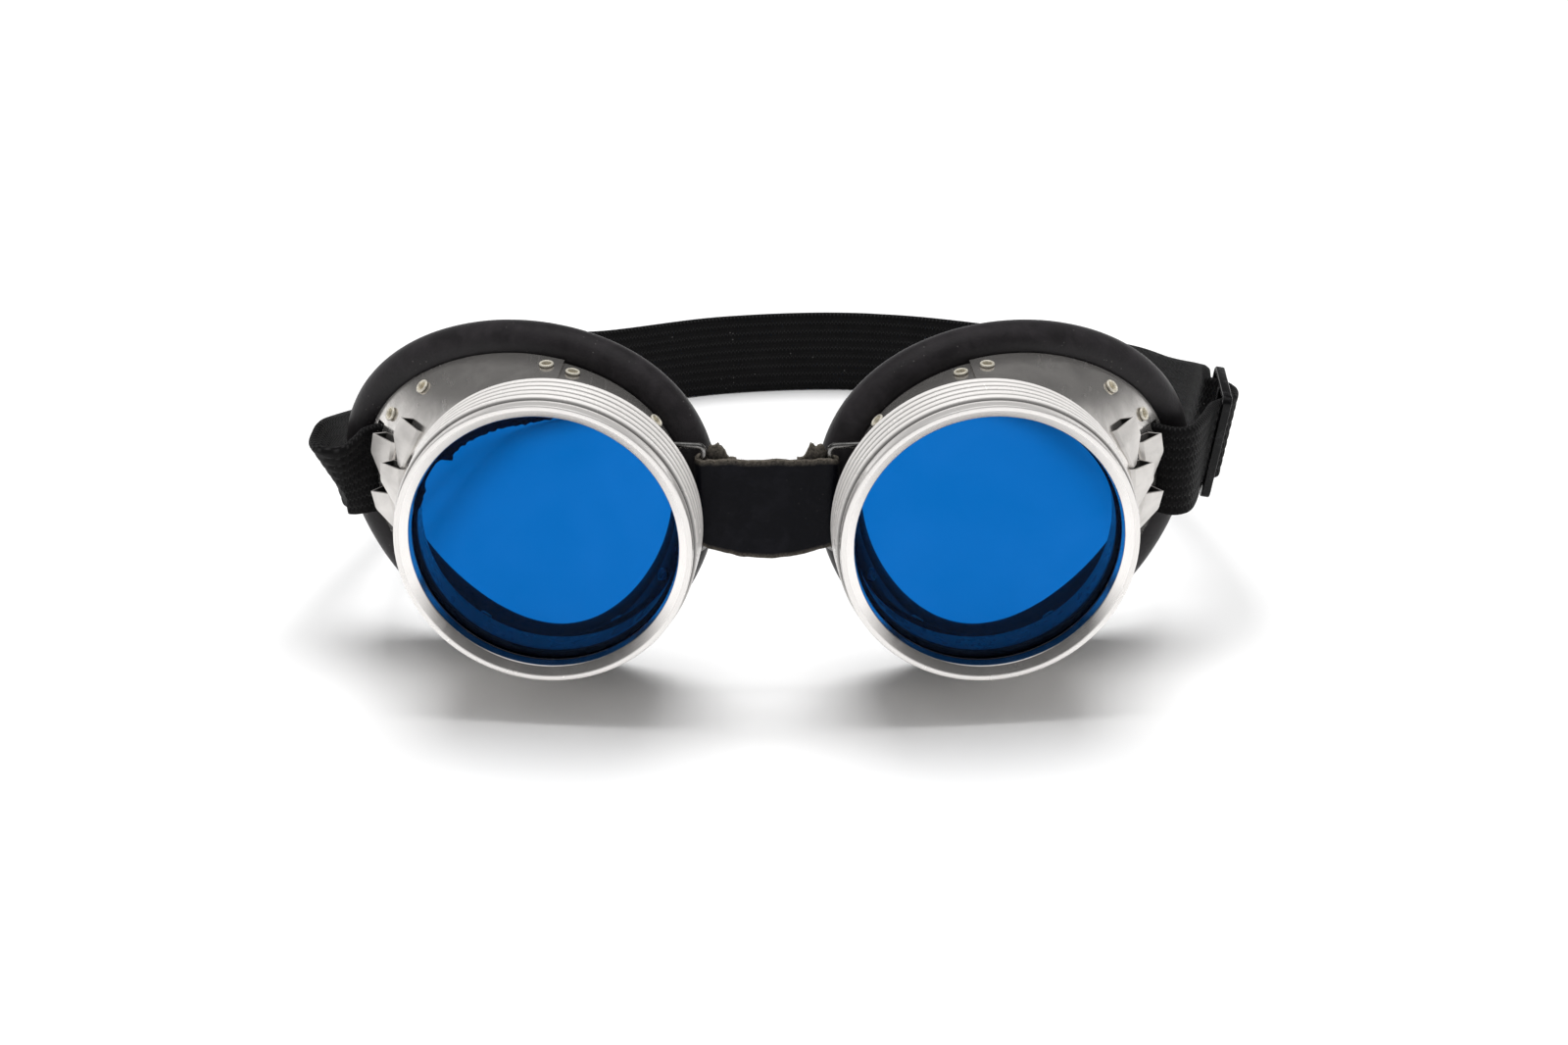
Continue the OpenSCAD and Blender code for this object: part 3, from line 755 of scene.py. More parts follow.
def rolled_sheet(name, metallic, rough, swell):
    """Rolled sheet, cloudy and a little scuffed. Gives the finish and its colour."""
    f = Finish(name, metallic=metallic)
    cloud = f.use(PATCHES, scale=130.0, low=0.38, high=0.66)
    stain = f.use(PATCHES, scale=420.0, low=0.55, high=0.75)
    marks = f.use(SCRATCHES, scale=700.0)
    tone = f.mix(cloud, tint("sheet"), tint("sheet", 0.80))
    tone = f.mix(f.times(stain, 0.4), tone, tint("sheet", 0.7))
    f.rough(f.maths("ADD", f.between(cloud, *rough), f.times(marks, 0.14)))
    wave = f.bump(f.noise(f.object, 70.0, detail=2.0), swell)
    f.bump(marks, depth=0.01, strength=0.5, after=wave)
    return f, tone


def bright_sheet():
    """The shells' sheet, less bright inside, where the UV runs past 1."""
    outside, inside = 0.9, 0.15
    f, tone = rolled_sheet("bright_sheet", outside, rough=(0.10, 0.24), swell=0.12)
    f.colour(tone)
    f.metal(f.span(f.uv_part("Y"), 1.0, 1.02, outside, inside))
    return f.material


def pressed_sheet():
    """The louvres' sheet, with painted shade inside the hoods."""
    f, tone = rolled_sheet("pressed_sheet", 0.35, rough=(0.30, 0.42), swell=0.05)
    # Painted shade: the hoods' inner faces are painted nearly black.
    f.colour(f.mix(f.attribute("inside"), tone, tint("sheet", 0.03)))
    return f.material


def satin_cap():
    """Satin spun metal with lathe lines, smoother and all metal on the lip's bevel, with painted shade in
    the grooves.
    """
    f = Finish("satin_cap")
    line = f.lathe_lines(scale=2.4, detail=1.0)
    mottle = f.use(PATCHES, scale=520.0, low=0.42, high=0.62)
    wide = f.use(PATCHES, scale=170.0, low=0.4, high=0.65)
    bevel, valley = f.attribute("bevel"), f.attribute("valley")
    tone = f.mix(f.span(line, 0.3, 0.7, 0, 0.45), tint("cap"), tint("cap", 0.82))
    tone = f.mix(f.times(mottle, 0.05), tone, tint("cap", 0.7))
    tone = f.mix(bevel, tone, tint("cap", 0.9))
    # Painted shade: the grooves between the ridges are darkened nearly to black, and the lip's inner wall
    # the same way.
    f.colour(f.mix(valley, tone, tint("cap", 0.08)))
    f.metal(f.between(bevel, 0.15, 1.0))
    f.rough(f.maths("ADD", f.between(wide, 0.22, 0.30), f.times(bevel, -0.04)))
    f.bump(line, depth=0.01, strength=0.4)
    return f.material


def turned_ring():
    """Turned metal painted dark as shade, with worn patches, pale in the bore."""
    f = Finish("turned_ring")
    bore = f.attribute("bore")
    line = f.lathe_lines(scale=14.0, detail=2.0)
    wear = f.use(PATCHES, scale=300.0, low=0.42, high=0.66)
    # Painted shade: the ring's dark tone stands in for the shade inside the cup.
    tone = f.mix(f.span(line, 0.35, 0.65), tint("ring"), tint("ring", 0.7))
    tone = f.mix(wear, tone, tint("ring", 3.0))
    f.colour(f.mix(bore, tone, tint("sheet", 0.85)))
    f.metal(f.between(bore, 1.0, 0.2))
    f.rough(f.between(wear, 0.25, 0.42))
    f.bump(line, depth=0.03)
    return f.material


def cobalt_glass():
    """Blue glass with a little haze and a few hairline scratches."""
    paler, lift = 1.08, 0.004
    f = Finish("cobalt_glass", transmission_weight=1.0, ior=1.5, metallic=0.0, specular_tint=GLASS_GLINT)
    haze = f.use(PATCHES, scale=60.0, low=0.3, high=0.8)
    hazy = tuple(min(1, c * paler + lift) for c in tint("glass")[:3])
    f.colour(f.mix(haze, tint("glass"), (*hazy, 1)))
    f.rough(f.between(f.use(SCRATCHES, scale=500.0), 0.0, 0.06))
    return f.material


def black_rubber(name, base, sheen):
    """Matte black rubber with a dusty bloom."""
    f = Finish(name, sheen_weight=sheen, sheen_roughness=0.6, specular_ior_level=0.24)
    bloom = f.use(PATCHES, scale=240.0, low=0.35, high=0.75)
    dust = f.use(SPECKS, scale=900.0, size=0.13)
    tone = f.mix(bloom, base, shaded(base, 2.2))
    f.colour(f.mix(f.times(dust, 0.35), tone, RUBBER_DUST))
    f.rough(f.between(bloom, 0.40, 0.56))
    f.bump(f.use(GRAIN, scale=1900.0), depth=0.04, strength=0.8)
    return f.material


def bead_rubber():
    return black_rubber("bead_rubber", tint("rubber"), sheen=0.04)


def packing_rubber():
    return black_rubber("packing_rubber", PACKING, sheen=0.0)


def plated_eyelet():
    """Nickelled brass, a little worn."""
    f = Finish("plated_eyelet", metallic=0.4)
    wear = f.use(PATCHES, scale=900.0, low=0.4, high=0.62)
    f.colour(f.mix(wear, tint("eyelet"), tint("eyelet", 0.82)))
    f.rough(f.between(f.use(PATCHES, scale=1500.0, low=0.4, high=0.65), 0.18, 0.38))
    f.bump(f.use(GRAIN, scale=3000.0), depth=0.02, strength=0.5)
    return f.material


def drawn_wire():
    """Drawn steel with fine scratches, its colour darkened as painted shade."""
    f = Finish("drawn_wire", metallic=1.0)
    wear = f.use(PATCHES, scale=800.0, low=0.45, high=0.7)
    # Painted shade: the steel's colour is kept dark.
    f.colour(f.mix(wear, tint("wire"), tint("wire", 0.55)))
    f.rough(f.between(wear, 0.22, 0.42))
    f.bump(f.use(SCRATCHES, scale=1600.0), depth=0.02, strength=0.6)
    return f.material


def blue_black_leather():
    """Grain leather: slight gloss on the face, fibrous and pale at the cut edges."""
    f = Finish("blue_black_leather", specular_ior_level=0.07)
    raw = f.attribute("raw")
    fuzz = f.noise(f.object, 2400.0, detail=4.0, rough=0.7)
    worn = f.use(PATCHES, scale=180.0, low=0.5, high=0.8)
    dust = f.use(SPECKS, scale=700.0, size=0.14)
    face = f.mix(worn, tint("leather"), WORN_LEATHER)
    face = f.mix(f.times(dust, 0.06), face, LEATHER_DUST)
    edge = f.mix(f.span(fuzz, 0.35, 0.65), tint("raw_edge", 0.30), tint("raw_edge"))
    f.colour(f.mix(raw, face, edge))
    f.rough(f.maths("ADD", f.between(worn, 0.34, 0.5), f.times(raw, 0.45), clamp=True))
    pores = f.bump(f.use(GRAIN, scale=1100.0), depth=0.07, strength=0.8)
    f.bump(f.times(fuzz, raw), depth=0.2, after=pores)
    return f.material


def leather_fibre():
    """Loose pale and dark fibres of the cut leather."""
    f = Finish("leather_fibre", sheen_weight=0.3, sheen_roughness=0.5)
    tone = f.noise(f.object, 900.0)
    f.colour(f.mix(f.span(tone, 0.35, 0.65), DARK_FIBRE, tint("raw_edge")))
    f.rough(f.span(tone, 0.3, 0.7, 0.7, 0.95))
    return f.material


def woven_elastic():
    """Black elastic: ribs along, with short crossing threads on the strap's own UV."""
    stitches, stagger = 22.0, 0.5
    f = Finish("woven_elastic", sheen_weight=0.03, sheen_roughness=0.5, specular_ior_level=0.1)
    rib = f.times(f.uv_part("Y"), panel_sizes().strap_ribs)
    row = f.maths("FLOOR", f.times(rib, 2.0))
    shift = f.times(f.maths("MODULO", row, 2.0), stagger)
    stitch = f.maths("ADD", f.times(f.uv_part("X"), stitches), shift)
    loop = f.maths("ABSOLUTE", f.maths("SINE", f.times(stitch, math.pi)))
    valley = f.maths("ABSOLUTE", f.maths("COSINE", f.times(rib, math.pi)))
    dots = f.times(f.span(loop, 0.8, 1.0), f.span(valley, 0.75, 1.0))
    fuzz = f.noise(f.object, 3200.0, detail=3.0, rough=0.7)
    wide = f.use(PATCHES, scale=120.0, low=0.35, high=0.7)
    lint = f.use(SPECKS, scale=600.0, size=0.1)
    tone = f.mix(wide, tint("strap"), tint("strap", 1.8))
    tone = f.mix(f.times(dots, 0.3), tone, THREAD_DOT)
    f.colour(f.mix(f.times(lint, 0.4), tone, LINT))
    f.rough(f.span(fuzz, 0.3, 0.7, 0.58, 0.82))
    f.bump(f.maths("ADD", loop, f.times(fuzz, 0.5)), depth=0.12, strength=0.9)
    return f.material


def black_enamel():
    """Thin black enamel, worn a little paler in patches."""
    f = Finish("black_enamel", coat_weight=0.06, coat_roughness=0.15, specular_ior_level=0.15)
    worn = f.use(PATCHES, scale=500.0, low=0.5, high=0.75)
    f.colour(f.mix(worn, tint("slider"), WORN_ENAMEL))
    f.rough(f.between(worn, 0.2, 0.36))
    f.bump(f.use(GRAIN, scale=1600.0), depth=0.03, strength=0.5)
    return f.material


FINISHES = {make.__name__: make for make in (
    bright_sheet, pressed_sheet, satin_cap, turned_ring, cobalt_glass, bead_rubber, packing_rubber,
    plated_eyelet, drawn_wire, blue_black_leather, leather_fibre, woven_elastic, black_enamel)}


def finish(name):
    """The finish of that name, made when it is first asked for."""
    return bpy.data.materials.get(name) or FINISHES[name]()


# Caps, rings, glasses and gaskets

def ridge_outline(start, count, low, high):
    """Rolled ridges: broad round crests between narrow grooves."""
    steps, flatness = 10, 3
    shares = np.linspace(0, 1, steps, endpoint=False)
    swell = low + (high - low) * (1 - np.abs(2 * shares - 1) ** flatness)
    pitch = size("thread_pitch")
    return [(r, start - (i + t) * pitch) for i in range(count) for t, r in zip(shares, swell)]


def make_cap(cup):
    """Screw cap: bevelled lip, rounded crest and rolled ridges down the skirt."""
    crest_w, crest_end, crest_in = 0.9, -2.1, 0.53
    groove, groove_z = 0.32, -2.45
    ridges_from, plain_end = 2.85, 0.5
    skirt_r = cup.bore_r + size("cap_wall")
    ridge_r = skirt_r + size("ridge_h")
    bezel_r = ridge_r - crest_in
    bottom, lip = -size("cap_len"), -size("lip_depth")
    lip_back = lip - size("lip_t")
    aperture, flare = size("lens_r") - size("lip_cover"), 0.25
    count = int((size("cap_len") - ridges_from - plain_end) / size("thread_pitch"))
    # Each corner's r, z and rounding
    face = [(aperture, lip_back, 0.12), (aperture, lip, 0.2), (aperture + flare, -size("lip_bevel"), 0.25),
            (bezel_r - crest_w, 0, 0.3), (bezel_r, 0, 0.6), (bezel_r, crest_end, 0.3),
            (bezel_r - groove, groove_z, 0.15)]
    skirt = [(r, z, 0) for r, z in ridge_outline(-ridges_from, count, skirt_r, ridge_r)]
    inside = [(skirt_r, bottom, 0.2), (cup.bore_r, bottom, 0.2), (cup.bore_r, lip_back, 0.2)]
    rows = np.array(face + skirt + inside)
    outline = rounded(rows[:, :2], rows[:, 2], cuts=5)
    # valley carries the painted shade of the grooves and the darkened lip wall.
    bevel, valley = cap_marks(cup, outline, bezel_r, skirt_r, aperture, lip)
    obj = revolve(cup, f"{cup.name}_screw_cap", outline, around=192, bevel=bevel, valley=valley)
    finish_piece(obj, "satin_cap", f"{cup.name}_cap", f"{cup.name}_cap")


def cap_marks(cup, outline, bezel_r, skirt_r, aperture, lip):
    """Marks for the cap's finish: polish on the bevel and crest, painted shade in the grooves, and the
    lip's inner wall darkened.
    """
    fade, touch, off_bore = 0.35, 0.06, 0.02
    bevel_w, bevel_depth, crest_w, crest_end, crest_polish = 0.85, 0.2, 0.95, -2.3, 0.5
    groove_shade_h, groove_shade_from, wall_from = 0.55, -2.7, 0.04
    r, z = outline.T
    bevel = smoothstep((bezel_r - bevel_w - r) / fade) * (z > lip - bevel_depth)
    bevel = np.maximum(bevel, crest_polish * (z > crest_end) * (r > bezel_r - crest_w))
    # Painted shade in the grooves: dark where the skirt dips towards its root.
    outside = (r > cup.bore_r + off_bore) * (z < groove_shade_from)
    valley = np.clip((skirt_r + groove_shade_h - r) / fade, 0, 1) * outside
    return bevel, np.maximum(valley, (r < aperture + touch) * (z < lip - wall_from))


def make_ring(cup):
    """Threaded ring that carries the cap, with its spigot inside the shell."""
    thread_depth, plain_end, ledge, wall, bore_from = 0.35, 0.5, 0.9, 2.4, 2.3
    spigot_play, spigot_len, facet = 0.1, 0.8, math.radians(3)
    low, front = cup.ring_r - thread_depth, cup.ring_z
    count = int((front - cup.front_z - plain_end) / size("thread_pitch"))
    inner, bore = size("lens_r") - size("gasket_w"), cup.ring_r - wall
    spigot = (cup.band_r - size("sheet_t") / 2) * math.cos(facet) - spigot_play
    back, end = cup.front_z + cup.GLASS_PLAY, cup.front_z - spigot_len
    corners = [(inner, front - ledge), (inner, front), (low, front)]
    corners += ridge_outline(front, count, low, cup.ring_r)
    corners += [(low, back), (spigot, back), (spigot, end), (bore, end), (bore, front - ledge)]
    outline = rounded(corners, radii=0.15, cuts=3)
    obj = revolve(cup, f"{cup.name}_threaded_ring", outline, around=144,
                  bore=outline[:, 0] < cup.ring_r - bore_from)
    finish_piece(obj, "turned_ring", f"{cup.name}_cup", f"{cup.name}_ring")


def make_glass(cup):
    """Round filter glass with ground edges."""
    ground = 0.25
    r, front, back = size("lens_r"), cup.glass_z, cup.glass_z - size("lens_t")
    outline = [(r - ground, front), (r, front - ground), (r, back + ground), (r - ground, back)]
    obj = loft(f"{cup.name}_filter_glass", cup.world(hoops(outline, around=160)), sharp=20)
    finish_piece(obj, "cobalt_glass", f"{cup.name}_glass", f"{cup.name}_lens")


def make_gasket(cup):
    """Thin packing ring. On the left its inner edge is ragged and strays into view."""
    front, back = cup.gasket_z, cup.gasket_z - size("gasket_t")
    inner, outer = size("lens_r") - size("gasket_w"), size("lens_r")
    outline = [(inner, back), (inner, (front + back) / 2), (inner, front), (outer, front), (outer, back)]
    # Angle in degrees and how far the worn edge strays inwards
    wear = [(78, 0), (84, 1.0), (92, 1.8), (100, 2.3), (110, 2.1), (118, 2.0), (126, 1.7),
            (133, 1.5), (138, 1.5), (141, 2.1), (143, 1.0), (146, 0.1), (158, 0), (163, 0.6),
            (168, 0.5), (172, 0)]
    fray, fray_from, waves, touch = 0.22, 0.3, (2.3, 0.71), 0.01

    def ragged(t, line):
        here = (180 - math.degrees(t)) % 360
        stray = float(np.interp(here, *zip(*wear), left=0, right=0))
        stray += fray * (stray > fray_from) * math.prod(math.sin(here * wave) for wave in waves)
        return np.where(line[:, 0] < inner + touch, inner - stray, line[:, 0])

    radius = ragged if cup.name == "left" else None
    obj = revolve(cup, f"{cup.name}_packing_ring", outline, around=240, radius=radius)
    finish_piece(obj, "packing_rubber", f"{cup.name}_glass", f"{cup.name}_gasket")


# Shells, louvres, edging and eyelets

def ring_angles(extra=(), count=240):
    """Angles round the rim in degrees, with a few more where the lap steps down."""
    return np.array(sorted(set(np.linspace(0, 360, count, endpoint=False)) | set(extra)))


def make_shell(cup):
    """Sheet-metal shell with its lap at the top, louvre holes, strap slot and eyelet holes."""
    step, lap_lead, lap_rise, lap_blend, extra_row = 0.04, 40, 42, 0.06, 4
    round_in, round_len, slot_half, rows, sharp = 0.4, 0.15, 4.4, 15, 30
    half = size("sheet_t") / 2
    a = ring_angles((cup.LAP_TO - step, cup.LAP_TO + step, cup.LAP_FROM - extra_row))
    rise = smoothstep((a - (cup.LAP_FROM - lap_lead)) / lap_rise) * (a <= cup.LAP_TO)
    lap = size("sheet_t") * rise
    radial, side, band, edge = cup.radial(a), cup.rim_side(a), cup.band(a), cup.edge(a)
    front = cup.band_r * radial + cup.FRONT * cup.front_z
    shoulder = front - cup.FRONT * round_len
    outer = [front + half * radial * round_in, shoulder + half * radial]
    inner = [front - half * radial * round_in, shoulder - half * radial]
    for s in np.linspace(0, 1, rows):
        n = unit(radial * (1 - s) + side * s)
        middle = band * (1 - s) + edge * s
        outer.append(middle + n * (half + (lap * smoothstep(s / lap_blend))[:, None]))
        inner.append(middle - n * half)
    rings = np.stack(outer + inner[::-1], axis=1)
    turn = (a / 360)[:, None] * np.ones(rings.shape[1])
    along = np.concatenate([np.linspace(0, 1, len(outer)), np.linspace(2, 1, len(inner))])
    uv = np.stack([turn, np.ones(len(a))[:, None] * along], axis=-1)
    obj = loft(f"{cup.name}_sheet_shell", cup.world(rings), True, uv, sharp)
    room = size("strap_t") / 2 + cup.SLOT_PLAY
    cutters = [louvre_hole(cup, place) for place in cup.LOUVRES] + eyelet_holes(cup)
    cutters.append(slot_box(cup, (-slot_half, slot_half), room, room))
    cut(obj, cutters, sharp)
    finish_piece(obj, "bright_sheet", f"{cup.name}_cup", f"{cup.name}_shell")


BOX_FACES = [(0, 1, 3, 2), (4, 6, 7, 5), (0, 4, 5, 1), (2, 3, 7, 6), (0, 2, 6, 4), (1, 5, 7, 3)]


def box_cutter(cup, middle, axes, low, high):
    """A box between two corners, given along three cup directions from a middle."""
    points = [(x, y, z) for x in (low[0], high[0]) for y in (low[1], high[1]) for z in (low[2], high[2])]
    return make_object("cutter", cup.place(middle, axes, points), BOX_FACES)


def slot_box(cup, depth, behind, ahead):
    """Cutter for the strap's slot, by its depth along the strap and its room to each side."""
    middle, out, front = cup.slot()
    tall = size("strap_w") / 2 + cup.SLOT_PLAY
    return box_cutter(cup, middle, (out, cup.TOP, front),
                      (depth[0], -tall, -behind), (depth[1], tall, ahead))


def louvre_axes(cup, place):
    """Middle of a louvre on the sheet, and its ways out, along and forward."""
    a, row = place
    inset = cup.LOUVRE_INSET + cup.LOUVRE_ROW * row
    n, r = cup.normal(a, inset), cup.ruling(a)
    return cup.sheet(a, inset), n, unit(np.cross(r, n)), r


def louvre_hole(cup, place):
    """Cutter for the slit under a louvre's mouth."""
    deep, narrower, back, front = 1.6, 1.0, 2.6, 1.4
    middle, n, t, r = louvre_axes(cup, place)
    wide, tall = size("louvre_w") / 2 - narrower, size("louvre_len") / 2
    return box_cutter(cup, middle, (n, t, r), (-deep, tall - back, -wide), (deep, tall - front, wide))


def eyelet_holes(cup):
    """Round cutters for all the eyelets of a cup."""
    play, deep = 0.06, 3.0
    radius = size("eyelet_bore") + size("eyelet_wall") + play
    rings = hoops([(radius, -deep), (radius, deep)], around=24)
    holes = []
    for a in (*cup.RIM_EYELETS, *cup.SEAM_EYELETS):
        inset = cup.eyelet_inset(a)
        n, r = cup.normal(a, inset), cup.ruling(a)
        holes.append(loft("cutter", cup.place(cup.sheet(a, inset), (r, np.cross(n, r), n), rings)))
    return holes


def louvre_hood(side):
    """One pressed hood, high at the rear and low in front: x stands out, y runs to the open mouth."""
    thin, base, floor, rows = 0.45, -0.5, -0.4, 17
    opening, narrow_end, low_end, front_share = 1.7, 0.3, 0.03, 0.25
    rear_in, front_in, rear_thin, front_thin = 0.9, 0.8, 1.3, 1.05
    outer_round, inner_round, sharp = [0, 0.12, 0.12, 0], [0, 0.1, 0.1, 0], 30
    long, wide, high = size("louvre_len"), size("louvre_w") / 2, size("louvre_h")
    rings, inside = [], []
    for s in np.linspace(0, 1, rows):
        swell = min(1.0, opening * s)
        foot = wide * (narrow_end + (1 - narrow_end) * swell)
        rise = high * (low_end + (1 - low_end) * swell)
        low = front_share * rise
        line = rounded([(base, -foot), (rise, -rear_in * foot), (low, front_in * foot), (base, foot)],
                       outer_round, cuts=3)
        inner = rounded([(base, thin - foot),
                         (max(rise - rear_thin * thin, floor), rear_in * (thin - foot)),
                         (max(low - front_thin * thin, floor), front_in * (foot - thin)),
                         (base, foot - thin)],
                        inner_round, cuts=3)
        loop = np.concatenate([line, inner[::-1]])[::side]
        y = np.full(len(loop), long * (s - 0.5))
        rings.append(np.stack([loop[:, 0], y, side * loop[:, 1]], axis=-1))
        inside.append(np.concatenate([np.zeros(len(line)), np.ones(len(inner))])[::side])
    obj = loft("louvre_hood", rings, sharp=sharp)
    # The hoods' inner faces are marked for the finish's painted shade.
    mark(obj, "inside", np.concatenate(inside))
    return obj


def build_copies(name):
    """Puts copies of a piece on points, each turned by the point's own angles."""
    g = shape_group(name, "Places", ("Piece", "Object", None))
    shape = g.put("GeometryNodeObjectInfo", {"Object": g.given["Piece"]})
    return give_copies(g, g.given["Places"], shape.outputs["Geometry"], own_angles(g))


def place_points(name, places, axes):
    """A mesh of bare points in metres with the Euler angles of each frame of axes."""
    mesh = bpy.data.meshes.new(name)
    mesh.from_pydata([tuple(p) for p in np.asarray(places) * MM], [], [])
    angles = [Matrix(np.array(m).T.tolist()).to_euler() for m in axes]
    data = mesh.attributes.new("turn", "FLOAT_VECTOR", "POINT")
    data.data.foreach_set("vector", np.array([tuple(e) for e in angles], np.float32).ravel())
    return new_object(name, mesh)


COPIES = ("Placed copies", build_copies)


def make_louvres(cup):
    """The four pressed louvres of one shell."""
    sunk, sharp = 0.02, 30
    hood = louvre_hood(cup.side)
    places, axes = [], []
    for place in cup.LOUVRES:
        middle, n, t, _ = louvre_axes(cup, place)
        places.append(cup.world(middle + n * (size("sheet_t") / 2 - sunk)))
        n, t = cup.turn(n), cup.turn(t)
        axes.append((n, t, np.cross(n, t)))
    obj = place_points(f"{cup.name}_louvres", places, axes)
    run_tree(obj, COPIES, piece=hood, finish=finish("pressed_sheet"))
    discard(hood)
    shade(obj.data, sharp)
    finish_piece(obj, "pressed_sheet", f"{cup.name}_cup")


def make_edging(cup):
    """Rubber edging: a round bead with a flange inside the shell, flat where it rests."""
    gap, uneven, waves, seed, sharp = 0.2, 0.008, 3, 3, 40
    soft, soft_from, bead_rows = 0.2, 0.93, 45
    a = ring_angles()
    bead, thick, inside = cup.bead_r, size("flange_t"), size("sheet_t") / 2 + gap
    root = cup.EDGE_IN + inside
    start, stop = (180 - math.degrees(math.asin(math.sqrt(1 - (at / bead) ** 2)))
                   for at in (root, root + thick))
    centre, side, reach = cup.rim(a), cup.rim_side(a), np.minimum(size("flange_len"), cup.reach(a))
    radius = (bead * (1 + uneven * ripple(np.radians(a) * waves, seed)))[:, None]
    rows = []
    for g in np.radians(np.linspace(start, stop - 360, bead_rows)):
        rows.append(centre + radius * (math.cos(g) * side + math.sin(g) * cup.FRONT))

    def flange(share, depth):
        inset = reach * share
        return cup.sheet(a, inset) - depth * cup.side_at(a, inset / cup.reach(a))

    rows += [flange(share, inside + thick) for share in (0.0, 0.5, soft_from)]
    rows += [flange(1.0, inside + thick * share) for share in (1 - soft, soft)]
    rows += [flange(share, inside) for share in (soft_from, 0.5, 0.0)]
    rings = cup.world(np.stack(rows, axis=1))
    rings[..., 2] = np.maximum(rings[..., 2], 0.0)
    obj = loft(f"{cup.name}_rubber_edging", rings, True, None, sharp)
    notch = slot_box(cup, depth=(-8.6, 4.3), behind=1.5, ahead=4.6)
    cut(obj, [notch] + eyelet_holes(cup), sharp)
    finish_piece(obj, "bead_rubber", f"{cup.name}_cup", f"{cup.name}_edging")


def build_eyelets(name):
    """Tubular eyelets on points: a rolled flange, a barrel and a rolled end inside."""
    round_cuts, section_cuts = 32, 12
    g = shape_group(name, "Places", ("Bore", "Float", 0.001), ("Flange", "Float", 0.0021),
                    ("Wall", "Float", 0.00035), ("Height", "Float", 0.0005), ("Depth", "Float", 0.003))
    bore, flange, wall, height, depth = (g.given[k] for k in ("Bore", "Flange", "Wall", "Height", "Depth"))
    whole = g.put("GeometryNodeJoinGeometry")

    def ringed(inner, outer, tall, z):
        middle = g.times(g.maths("ADD", inner, outer), 0.5)
        wide = g.times(g.maths("SUBTRACT", outer, inner), 0.5)
        path = g.put("GeometryNodeCurvePrimitiveCircle", {"Resolution": round_cuts, "Radius": middle})
        ring = g.put("GeometryNodeCurvePrimitiveCircle", {"Resolution": section_cuts, "Radius": 1.0})
        scale = g.put("ShaderNodeCombineXYZ", {"X": wide, "Y": g.times(tall, 0.5), "Z": 1.0})
        oval = g.put("GeometryNodeTransform", {"Geometry": ring.outputs[0], "Scale": scale.outputs[0]})
        swept = g.put("GeometryNodeCurveToMesh", {
            "Curve": path.outputs[0], "Profile Curve": oval.outputs[0]})
        place = g.put("ShaderNodeCombineXYZ", {"Z": z})
        part = g.put("GeometryNodeTransform", {
            "Geometry": swept.outputs[0], "Translation": place.outputs[0]})
        g.join(part.outputs[0], whole.inputs[0])

    half = g.times(height, 0.5)
    ringed(bore, flange, height, half)
    ringed(bore, g.maths("SUBTRACT", flange, wall), height, g.times(depth, -1.0))
    ringed(bore, g.maths("ADD", bore, wall), g.maths("ADD", depth, half),
           g.times(g.maths("SUBTRACT", half, depth), 0.5))
    smooth = g.put("GeometryNodeSetShadeSmooth", {"Geometry": whole.outputs[0]})
    return give_copies(g, g.given["Places"], smooth.outputs[0], own_angles(g))


EYELETS = ("Tubular eyelets", build_eyelets)


def make_eyelets(cup, kind, angles):
    """One group of eyelets of one eyecup."""
    proud, high, clinch = 0.1, 0.5, 0.45
    wider_bore, smaller_flange, thinner_wall = 1.12, 0.92, 0.6
    places, axes = [], []
    for a in angles:
        inset = cup.eyelet_inset(a)
        n, r = cup.normal(a, inset), cup.ruling(a)
        sheets = 1.5 if a == cup.LAP_EYELET else 0.5
        places.append(cup.world(cup.sheet(a, inset) + n * (sheets * size("sheet_t") + proud)))
        z, x = cup.turn(n), cup.turn(r)
        axes.append((x, np.cross(z, x), z))
    obj = place_points(f"{cup.name}_{kind}_tubes", places, axes)
    deep = size("sheet_t") + size("flange_t") + clinch
    run_tree(obj, EYELETS, bore=panel_sizes().eyelet_bore * wider_bore,
             flange=panel_sizes().eyelet_flange * smaller_flange,
             wall=panel_sizes().eyelet_wall * thinner_wall, height=high * MM, depth=deep * MM,
             finish=finish("plated_eyelet"))
    face_outwards(obj.data)
    finish_piece(obj, "plated_eyelet", f"{cup.name}_cup", f"{cup.name}_{kind}_eyelets")


# Wires and nose bridge

def tube(name, path, radius, sides=20):
    """A round bar along a path in the goggles' frame, with closed ends."""
    aslant = (0.3, 0.9, 0.31)
    along = unit(np.gradient(path, axis=0))
    across = unit(np.cross(along[0], aslant))
    t = circle(sides)[:, None]
    rings = []
    for p, d in zip(path, along):
        across = unit(across - d * np.dot(across, d))
        rings.append(p + radius * (np.cos(t) * across + np.sin(t) * np.cross(d, across)))
    return loft(name, rings)


def make_wire(cup):
    """Bent wire: a bar that the leather folds round, its two legs set into the shell."""
    past_leather, inside_band, bend, cuts = 2, 2, 1.3, 8
    hinge = joint_place(f"{cup.name}_cup_swing") - cup.centre
    x, z = hinge @ cup.outward, hinge @ cup.forward
    half = size("bridge_h") / 2 + past_leather
    high, low = (size("bridge_rise") + s * half for s in (1, -1))
    top_end, low_end = (-math.sqrt((cup.band_r - inside_band) ** 2 - y * y) for y in (high, low))
    corners = np.array([(top_end, high, z), (x, high, z), (x, low, z), (low_end, low, z)])
    bends = [corner_arc(*three, bend, cuts) for three in (corners[:3], corners[1:])]
    path = [corners[0], *bends[0], *bends[1], corners[3]]
    obj = tube(f"{cup.name}_bent_wire", cup.world(path), size("wire_d") / 2)
    finish_piece(obj, "drawn_wire", f"{cup.name}_cup", f"{cup.name}_wire")


WIRE_PLAY = 0.05


